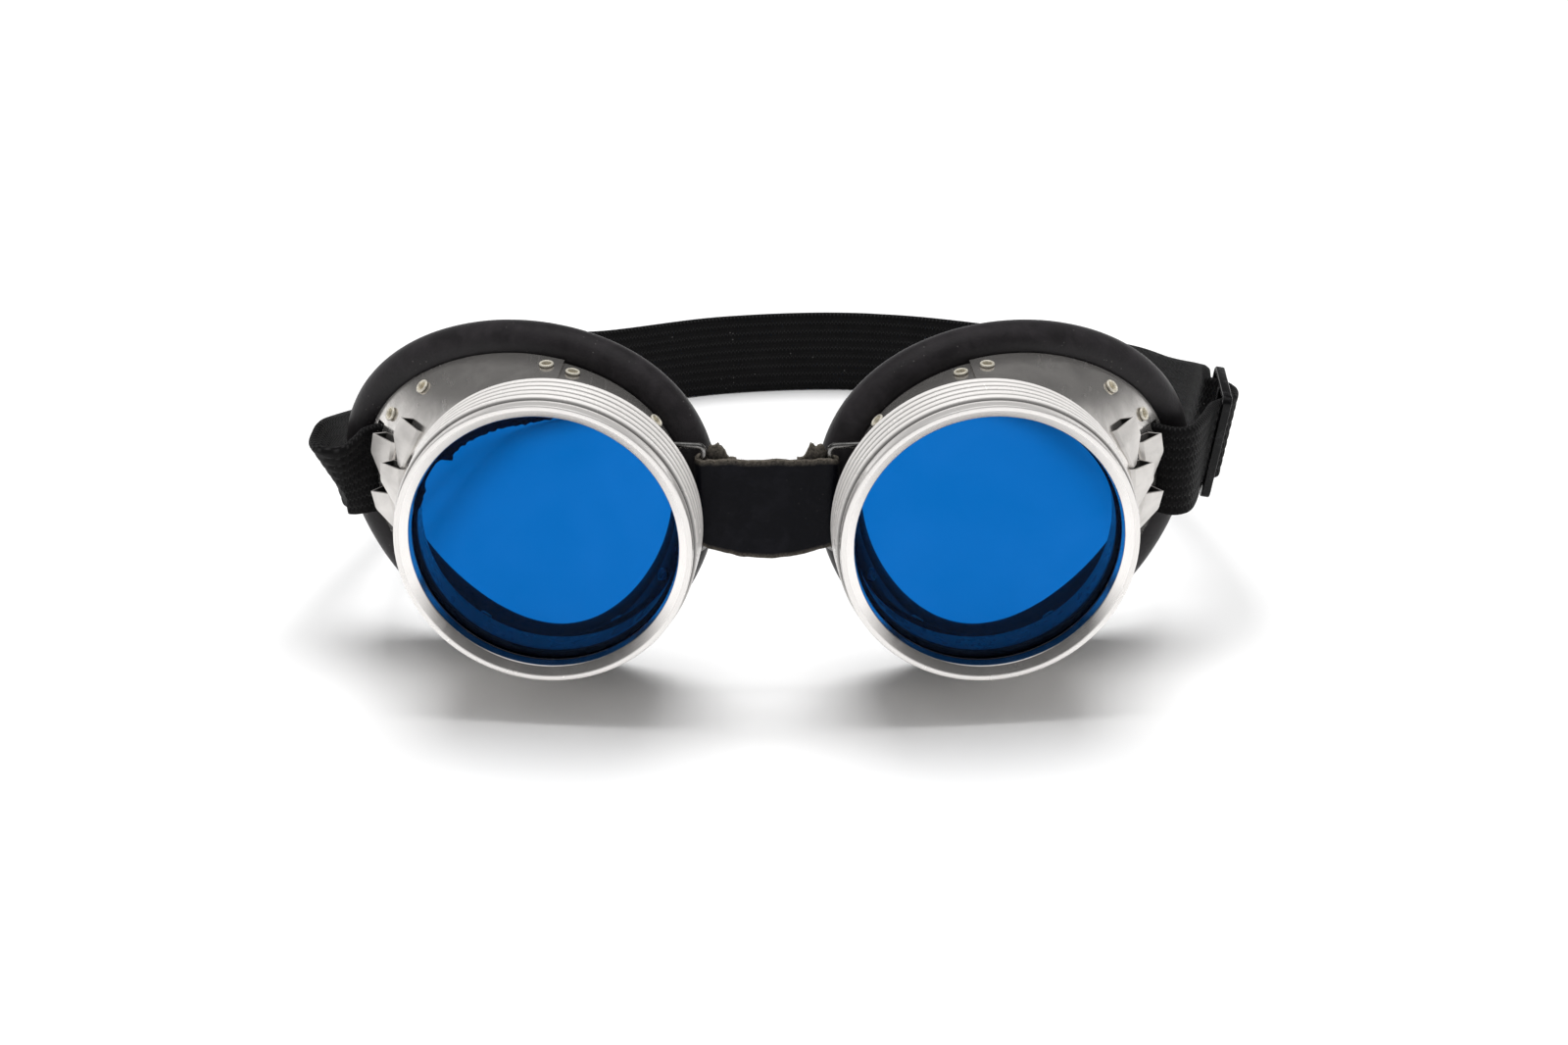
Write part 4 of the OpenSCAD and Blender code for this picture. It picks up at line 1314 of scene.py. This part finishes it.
def bridge_line():
    """The leather's line in plan from its right tail round both wires to its left tail."""
    left, right = (joint_place(f"{name}_cup_swing") for name in SIDES)
    middle, half = (left + right) / 2, (right[0] - left[0]) / 2
    r = size("wire_d") / 2 + WIRE_PLAY + size("leather_t") / 2
    # The tail lies against the face, and opens to pass round the wire
    tail_end, tail_y = half - size("bridge_lap"), 0.04
    tail = [(tail_end, tail_y), (tail_end + 0.3 * size("bridge_lap"), tail_y), (half - 2.5, 0.3)]
    loop = [(half + r * math.cos(math.radians(g)), r * math.sin(math.radians(g)))
            for g in (140, 115, 90, 60, 30, 0, -30, -60, -90)]
    face = [(half - 3, -r), (half * 0.3, -r - 0.1)]
    line = tail + loop + face
    return through(line + [(-x, y) for x, y in reversed(line)], cuts=8), middle, half


def make_bridge():
    """Leather nose bridge folded round both wires, raw at its cut edges."""
    line, middle, half = bridge_line()
    along = unit(np.gradient(line, axis=0))
    normal = np.stack([-along[:, 1], along[:, 0]], axis=-1)
    run = distance_along(line)
    bow, tall, thick = size("bridge_bow"), size("bridge_h"), size("leather_t") / 2
    wide = half + size("wire_d") / 2 + WIRE_PLAY + size("leather_t")
    arc = (wide ** 2 + bow ** 2) / (2 * bow)
    x = line[:, 0]
    # The cut edges wander a little, and each tail stands up as a torn flap
    low_wander, high_wander, trim = 0.12, 0.22, 0.25
    low = -tall / 2 - bow + arc - np.sqrt(arc ** 2 - x ** 2) + low_wander * ripple(run, seed=5)
    high = tall / 2 - trim + high_wander * ripple(run * 0.8, seed=8)
    flap_from, flap_to, flap_h, flap_wander = 4.8, 0.2, 2.3, 0.5
    flap = smoothstep((np.abs(x) - half + flap_from) / 1.5) * (line[:, 1] > 0)
    flap *= smoothstep((half - flap_to - np.abs(x)) / 1.2)
    high += flap * (flap_h + flap_wander * ripple(run * 2.3, seed=6))
    # The face bulges a little, and its right part lies a little prouder
    bulge_h, wave_h, proud = 0.14, 0.05, 0.16
    swell = proud * smoothstep((x - half * 0.35) / 1.2) * smoothstep((half - x) / 2)
    soft_edge, soft_share, raw_edge, raw_flap, face_from, levels = 0.03, 0.35, 0.035, 0.16, -1, 19
    up = np.linspace(0, 1, levels)
    profile = [(s, 1) for s in up] + [(s, -1) for s in up[::-1]]
    rings, raw = [], []
    for i, (p, n) in enumerate(zip(line, normal)):
        ring = []
        for s, face in profile:
            edge = min(s, 1 - s)
            soft = thick * (1 - soft_share * (1 - min(1, edge / soft_edge)))
            bulge = bulge_h * math.sin(math.pi * s) + wave_h * math.sin(run[i] * 1.3 + 5 * s)
            offset = face * soft - (bulge + swell[i]) * (p[1] < face_from)
            ring.append((*(p + n * offset), low[i] + (high[i] - low[i]) * s))
            raw.append(max(0.0, 1 - edge / (raw_edge + raw_flap * flap[i])))
        rings.append(ring)
    obj = loft("nose_bridge_leather", np.array(rings) + middle, sharp=60)
    ends = np.zeros(len(line))
    ends[:2] = ends[-2:] = 1
    mark(obj, "raw", np.maximum(raw, np.repeat(ends, len(profile))))
    finish_piece(obj, "blue_black_leather", "bridge", "bridge")
    return [np.column_stack([line, level]) + middle for level in (high, low)]


def build_fibres(name):
    """Loose fibres standing off a line, of uneven length and lean."""
    lean, spin, shortest, tip = 1.1, 3.1, 0.25, 0.00001
    g = shape_group(name, "Line", ("Count", "Int", 150), ("Length", "Float", 0.001),
                    ("Thickness", "Float", 0.00004), ("Seed", "Int", 4))
    curve = g.put("GeometryNodeMeshToCurve", {"Mesh": g.given["Line"]})
    places = g.put("GeometryNodeResampleCurve", {"Curve": curve.outputs[0], "Count": g.given["Count"]})
    fibre = g.put("GeometryNodeMeshCone", {
        "Vertices": 4, "Side Segments": 3, "Radius Top": tip,
        "Radius Bottom": g.given["Thickness"], "Depth": g.given["Length"]})
    leans = g.put("FunctionNodeRandomValue", {
        "Seed": g.given["Seed"], "Min": (-lean, -lean, -spin), "Max": (lean, lean, spin)},
        data_type="FLOAT_VECTOR")
    grow = g.put("FunctionNodeRandomValue", {
        "Seed": g.given["Seed"], 2: shortest, 3: 1.0}, data_type="FLOAT")
    return give_copies(g, places.outputs[0], fibre.outputs[0], leans.outputs[0], Scale=grow.outputs[1])


FIBRES = ("Raw edge fibres", build_fibres)


def make_fibres(upper, lower):
    """Loose fibres along the leather's upper and lower cut edges."""
    long, thick = 1.1, 0.035
    for name, points, share, seed in (("upper", upper, 0.6, 4), ("lower", lower, 0.4, 9)):
        mesh = bpy.data.meshes.new(f"bridge_{name}_fibres")
        mesh.from_pydata((points * MM).tolist(), [(i, i + 1) for i in range(len(points) - 1)], [])
        obj = new_object(mesh.name, mesh)
        run_tree(obj, FIBRES, count=int(panel_sizes().fibres * share), length=long * MM,
                 thickness=thick * MM, seed=seed, finish=finish("leather_fibre"))
        finish_piece(obj, "leather_fibre", "bridge")


# Strap and slider

def middle_x():
    """X of the middle between the two lens axes."""
    left, right = eyecups()
    return (right.centre[0] + left.centre[0]) / 2


def strap_knots():
    """Points of the strap's middle line and its outward lean, and the slider's middle.

    The line runs from the left hem to the right hem. Each end is placed from its slot.
    """
    cup = Eyecup("right")
    base = np.array([middle_x(), cup.centre[1], 0])
    slot, out, _ = cup.slot()
    slot_c, hem_c = cup.world(slot) - base, cup.world(cup.hem()) - base
    slot_out = cup.turn(out)
    slider = slot_c + np.array([12, 17.6, 0])
    weave_play = 0.3
    half = size("slider_t") / 2 + weave_play + size("strap_t") / 2
    pitch = (size("bar_w") + size("window_len")) / 2

    def near(x, y, z, lean):
        return (*(slot_c + np.array([x, y, z])), lean)

    def out_of_slot(d, lean):
        return (*(slot_c + slot_out * d), lean)

    def mirrored(row):
        return (-row[0], *row[1:])

    def woven(t, n):
        lean = math.degrees(panel_sizes().slider_lean)
        return (*(slider + np.array([n * half, t * pitch, 0])), lean)

    reach, rest = size("strap_reach"), size("strap_w") / 2
    left = [mirrored(row) for row in (
        (*hem_c, 0), out_of_slot(-1, 0), out_of_slot(2.4, 4), near(4.5, -2, -0.9, 16),
        near(6.6, -2.1, -1.6, 27), near(7.8, 0.1, -1.8, 29), near(8.6, 3.8, -2, 22),
        near(8.9, 7.6, -2.2, 14), near(7.9, 14, -4, 9), near(5.1, 28, -8.4, 5),
        near(-0.7, 50, -15, 1))]
    back = [(-58, reach - 27, 14, 0), (-35, reach - 11, rest + 0.6, 0), (-8, reach - 1, rest, 0),
            (25, reach, rest, 0), (56, reach - 13, rest + 1.6, 0)]
    right = [near(0.1, 80, -16, 1), near(6.5, 54, -8.4, 3), near(9.5, 38, -3, 7),
             woven(3, -1), woven(1.55, -1), woven(1, 0), woven(0.45, 1), woven(-0.45, 1),
             woven(-1, 0), woven(-1.55, -1), near(8.4, 5.6, 0, 5), near(6, -0.2, 0, 2),
             out_of_slot(3.2, 0), out_of_slot(-1, 0), (*hem_c, 0)]
    knots = np.array(left + back + right)
    knots[:, :3] += base
    return knots, slider + base


def strap_section(ribs):
    """Section of the strap: (across, through, share across) round its two ribbed faces."""
    valley, soft_edge, thin_edge, cuts = 0.80, 0.03, 0.35, 6
    t = np.linspace(0, 1, ribs * cuts + 1)
    wave = np.abs(np.sin(math.pi * ribs * t)) ** 0.5
    edge = np.minimum(1, np.minimum(t, 1 - t) / soft_edge + thin_edge)
    face = [(2 * s - 1, d, s) for s, d in zip(t, (valley + (1 - valley) * wave) * edge)]
    return np.array(face + [(x, -d, s) for x, d, s in reversed(face)])


def make_strap():
    """Woven elastic strap in two halves that meet at the back, each with its rolled hem."""
    path = through(strap_knots()[0], cuts=16)
    wide, thick = size("strap_w") / 2, size("strap_t") / 2
    centre = path[:, :3].copy()
    centre[:, 2] = np.maximum(centre[:, 2], wide)
    along = unit(np.gradient(centre, axis=0))
    flat = unit(np.stack([-along[:, 1], along[:, 0], 0 * along[:, 0]], axis=-1))
    lean = np.radians(path[:, 3])[:, None]
    up = UP * np.cos(lean) + flat * np.sin(lean)
    face = unit(np.cross(along, up))
    section = strap_section(panel_sizes().strap_ribs)
    rings = (centre[:, None] + up[:, None] * section[None, :, :1] * wide
             + face[:, None] * section[None, :, 1:2] * thick)
    rings[..., 2] = np.maximum(rings[..., 2], 0.0)
    run = distance_along(centre) / size("strap_w")
    uv = np.stack([np.repeat(run[:, None], len(section), 1),
                   np.repeat(section[None, :, 2], len(path), 0)], axis=-1)
    # The halves meet behind the head, where the line crosses the middle
    behind = np.where(centre[:, 1] < 0, np.inf, np.abs(centre[:, 0] - middle_x()))
    split = int(np.argmin(behind))
    for name, part in (("left", slice(0, split + 1)), ("right", slice(split, None))):
        obj = loft(f"strap_{name}_half", rings[part], uv=uv[part], sharp=75)
        join_objects(obj, make_hem(Eyecup(name)))
        obj.data.materials.append(finish("woven_elastic"))
        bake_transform(obj)
        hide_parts("strap")


def make_hem(cup):
    """The strap's end rolled on itself inside the shell."""
    rib_depth, flats, end_soft, end_len, rows, around = 0.03, 0.06, 0.15, 0.02, 55, 32
    ribs = panel_sizes().strap_ribs
    centre, wide, r = cup.world(cup.hem()), size("strap_w"), size("hem_d") / 2
    t = circle(around)
    lumpy = r * (1 - flats * np.abs(np.sin(1.5 * t)))
    rings, uv = [], []
    for s in np.linspace(0, 1, rows):
        rib = 1 - rib_depth + rib_depth * abs(math.sin(math.pi * ribs * s))
        soft = lumpy * rib * min(1, min(s, 1 - s) / end_len * end_soft + 1 - end_soft)
        rings.append(np.stack([centre[0] + soft * np.cos(t), centre[1] + soft * np.sin(t),
                               np.full(len(t), centre[2] + wide * (s - 0.5))], axis=-1))
        uv.append(np.stack([t * r / wide, np.full(len(t), s)], axis=-1))
    return loft(f"{cup.name}_hem", rings, uv=uv, sharp=60)


def join_objects(obj, other):
    """Joins the other object's mesh into the first."""
    with bpy.context.temp_override(active_object=obj, object=obj, selected_objects=[obj, other],
                                   selected_editable_objects=[obj, other]):
        bpy.ops.object.join()


def make_slider():
    """Three-bar slider: a flat frame with round corners and edges."""
    soft, play, end_bar, outer_round, window_round = 0.3, 0.5, 1.2, 1.6, 0.6
    weld_reach, sharp = 0.005, 40
    bar, window = size("bar_w"), size("window_len")
    inner = size("strap_w") + 2 * play

    def box(w, h, shift, corner):
        corners = [(x * w / 2, shift + y * h / 2) for x, y in ((-1, -1), (1, -1), (1, 1), (-1, 1))]
        return rounded(corners, corner, cuts=6)

    outlines = [box(inner + 2 * end_bar - 2 * soft, 3 * bar + 2 * window - 2 * soft, 0, outer_round)]
    for s in (-1, 1):
        outlines.append(box(inner + 2 * soft, window + 2 * soft, s * (bar + window) / 2, window_round))
    curve = bpy.data.curves.new("slider_outline", "CURVE")
    curve.dimensions, curve.fill_mode = "2D", "BOTH"
    curve.extrude = (size("slider_t") / 2 - soft) * MM
    curve.bevel_depth, curve.bevel_resolution = soft * MM, 3
    for outline in outlines:
        spline = curve.splines.new("POLY")
        spline.points.add(len(outline) - 1)
        spline.use_cyclic_u = True
        for point, (x, y) in zip(spline.points, outline * MM):
            point.co = (x, y, 0, 1)
    drawn = new_object("slider_outline", curve)
    mesh = evaluated_mesh(drawn)
    bpy.data.objects.remove(drawn)
    turn = Matrix.Rotation(math.pi / 2 + panel_sizes().slider_lean, 4, "Y")
    mesh.transform(Matrix.Translation(Vector(strap_knots()[1] * MM)) @ turn)
    obj = new_object("strap_slider", mesh)
    weld = obj.modifiers.new("weld", "WELD")
    weld.merge_threshold = weld_reach * MM
    baked(obj)
    face_outwards(obj.data)
    shade(obj.data, sharp)
    finish_piece(obj, "black_enamel", "slider", "slider")


# Stage

CAMERA_LENS, CAMERA_SENSOR, CAMERA_CLIP = 93.4, 36, (0.05, 20)
CAMERA_ASIDE, CAMERA_Y, CAMERA_Z, CAMERA_TILT = 3.16 * MM, -0.75045, 0.34686, 65.5
FLOOR_SIZE, FLOOR_WHITE = 8, (0.95, 0.95, 0.95, 1)
LAMP_PLACE, LAMP_ACROSS, LAMP_WATTS = (0, 0.35, 2.5), (1.8, 1.6), 62


def make_camera():
    """Camera at the photograph's angle, looking down a little on the front."""
    data = bpy.data.cameras.new("camera")
    data.lens, data.sensor_width, data.sensor_fit = CAMERA_LENS, CAMERA_SENSOR, "HORIZONTAL"
    data.clip_start, data.clip_end = CAMERA_CLIP
    camera = new_object("camera", data)
    camera.location = (middle_x() * MM + CAMERA_ASIDE, CAMERA_Y, CAMERA_Z)
    camera.rotation_euler = (math.radians(CAMERA_TILT), 0, 0)
    bpy.context.scene.camera = camera


def make_floor():
    """White floor that keeps a soft shadow."""
    material = bpy.data.materials.new("white_floor")
    material.use_nodes = True
    nodes = Nodes(material.node_tree)
    nodes.tree.nodes.clear()
    matt = nodes.put("ShaderNodeBsdfDiffuse", {"Color": FLOOR_WHITE})
    nodes.put("ShaderNodeOutputMaterial", {"Surface": matt.outputs[0]})
    bpy.ops.mesh.primitive_plane_add(size=FLOOR_SIZE, location=(0, 0, 0))
    floor = bpy.context.object
    floor.name = "studio_floor"
    floor.data.materials.append(material)


def make_world():
    """White studio, in reflections with a darker ceiling that has a bright middle."""
    walls, ceiling, overhead, fill = 0.95, 0.11, 0.9, 0.3
    world = bpy.data.worlds.new("studio")
    bpy.context.scene.world = world
    world.use_nodes = True
    w = Nodes(world.node_tree)
    w.tree.nodes.clear()
    way = w.put("ShaderNodeTexCoord").outputs["Generated"]
    height = w.put("ShaderNodeSeparateXYZ", {"Vector": way}).outputs["Z"]
    path = w.put("ShaderNodeLightPath").outputs
    level = w.span(height, 0.02, 0.28, walls, ceiling)
    level = w.maths("MAXIMUM", level, w.span(height, 0.78, 0.93, 0, overhead))
    level = w.maths("MAXIMUM", level, w.times(path["Is Diffuse Ray"], fill))
    level = w.maths("MAXIMUM", level, path["Is Camera Ray"])
    glow = w.put("ShaderNodeBackground", {"Color": (1, 1, 1, 1), "Strength": level})
    w.put("ShaderNodeOutputWorld", {"Surface": glow.outputs[0]})


def make_lamp():
    """Soft light from above, unseen in reflections."""
    data = bpy.data.lights.new("top_light", "AREA")
    data.shape, data.size, data.size_y = "RECTANGLE", *LAMP_ACROSS
    data.energy = LAMP_WATTS
    lamp = new_object("top_light", data)
    lamp.location = LAMP_PLACE
    lamp.rotation_euler = (-Vector(LAMP_PLACE)).to_track_quat("-Z", "Y").to_euler()
    lamp.visible_glossy = False


# Operators and panel

class GOGGLES_OT_stage(bpy.types.Operator):
    """Set the camera, the white floor, the studio light and the view"""

    bl_idname = "goggles.stage"
    bl_label = "Stage"

    def execute(self, context):
        make_camera()
        make_floor()
        make_world()
        make_lamp()
        context.scene.view_settings.view_transform = "Standard"
        return {"FINISHED"}


class GOGGLES_OT_caps(bpy.types.Operator):
    """Make the two screw caps"""

    bl_idname = "goggles.caps"
    bl_label = "Screw caps"

    def execute(self, context):
        for cup in eyecups():
            make_cap(cup)
        return {"FINISHED"}


class GOGGLES_OT_glass(bpy.types.Operator):
    """Make the filter glasses and their packing rings"""

    bl_idname = "goggles.glass"
    bl_label = "Filter glasses"

    def execute(self, context):
        for cup in eyecups():
            make_glass(cup)
            make_gasket(cup)
        return {"FINISHED"}


class GOGGLES_OT_rings(bpy.types.Operator):
    """Make the threaded rings"""

    bl_idname = "goggles.rings"
    bl_label = "Threaded rings"

    def execute(self, context):
        for cup in eyecups():
            make_ring(cup)
        return {"FINISHED"}


class GOGGLES_OT_shells(bpy.types.Operator):
    """Make the sheet-metal shells and their louvres"""

    bl_idname = "goggles.shells"
    bl_label = "Shells"

    def execute(self, context):
        for cup in eyecups():
            make_shell(cup)
            make_louvres(cup)
        return {"FINISHED"}


class GOGGLES_OT_edging(bpy.types.Operator):
    """Make the rubber edging"""

    bl_idname = "goggles.edging"
    bl_label = "Rubber edging"

    def execute(self, context):
        for cup in eyecups():
            make_edging(cup)
        return {"FINISHED"}


class GOGGLES_OT_eyelets(bpy.types.Operator):
    """Make the tubular eyelets"""

    bl_idname = "goggles.eyelets"
    bl_label = "Eyelets"

    def execute(self, context):
        for cup in eyecups():
            make_eyelets(cup, "rim", cup.RIM_EYELETS)
            make_eyelets(cup, "seam", cup.SEAM_EYELETS)
        return {"FINISHED"}


class GOGGLES_OT_bridge(bpy.types.Operator):
    """Make the leather nose bridge, its fibres and the two wires"""

    bl_idname = "goggles.bridge"
    bl_label = "Nose bridge"

    def execute(self, context):
        for cup in eyecups():
            make_wire(cup)
        make_fibres(*make_bridge())
        return {"FINISHED"}


class GOGGLES_OT_strap(bpy.types.Operator):
    """Make the elastic strap and its slider"""

    bl_idname = "goggles.strap"
    bl_label = "Strap and slider"

    def execute(self, context):
        make_strap()
        make_slider()
        return {"FINISHED"}


STEPS = (GOGGLES_OT_stage, GOGGLES_OT_caps, GOGGLES_OT_glass, GOGGLES_OT_rings,
         GOGGLES_OT_shells, GOGGLES_OT_edging, GOGGLES_OT_eyelets, GOGGLES_OT_bridge,
         GOGGLES_OT_strap)


class GOGGLES_PT_panel(bpy.types.Panel):
    """Sizes, colours and steps of the welding goggles"""

    bl_idname = "GOGGLES_PT_panel"
    bl_label = "Welding goggles"
    bl_space_type = "VIEW_3D"
    bl_region_type = "UI"
    bl_category = "Goggles"

    def draw(self, context):
        for step in STEPS:
            self.layout.operator(step.bl_idname)
        for group in (context.scene.goggle_sizes, context.scene.goggle_colours):
            column = self.layout.column()
            for name in group.__annotations__:
                column.prop(group, name)


CLASSES = (GOGGLES_PG_sizes, GOGGLES_PG_colours, *STEPS, GOGGLES_PT_panel)


def register():
    for made in CLASSES:
        bpy.utils.register_class(made)
    bpy.types.Scene.goggle_sizes = PointerProperty(type=GOGGLES_PG_sizes)
    bpy.types.Scene.goggle_colours = PointerProperty(type=GOGGLES_PG_colours)


def unregister():
    del bpy.types.Scene.goggle_colours
    del bpy.types.Scene.goggle_sizes
    for made in reversed(CLASSES):
        bpy.utils.unregister_class(made)


def main():
    register()
    for step in STEPS:
        group, name = step.bl_idname.split(".")
        getattr(getattr(bpy.ops, group), name)()


if __name__ == "__main__":
    main()
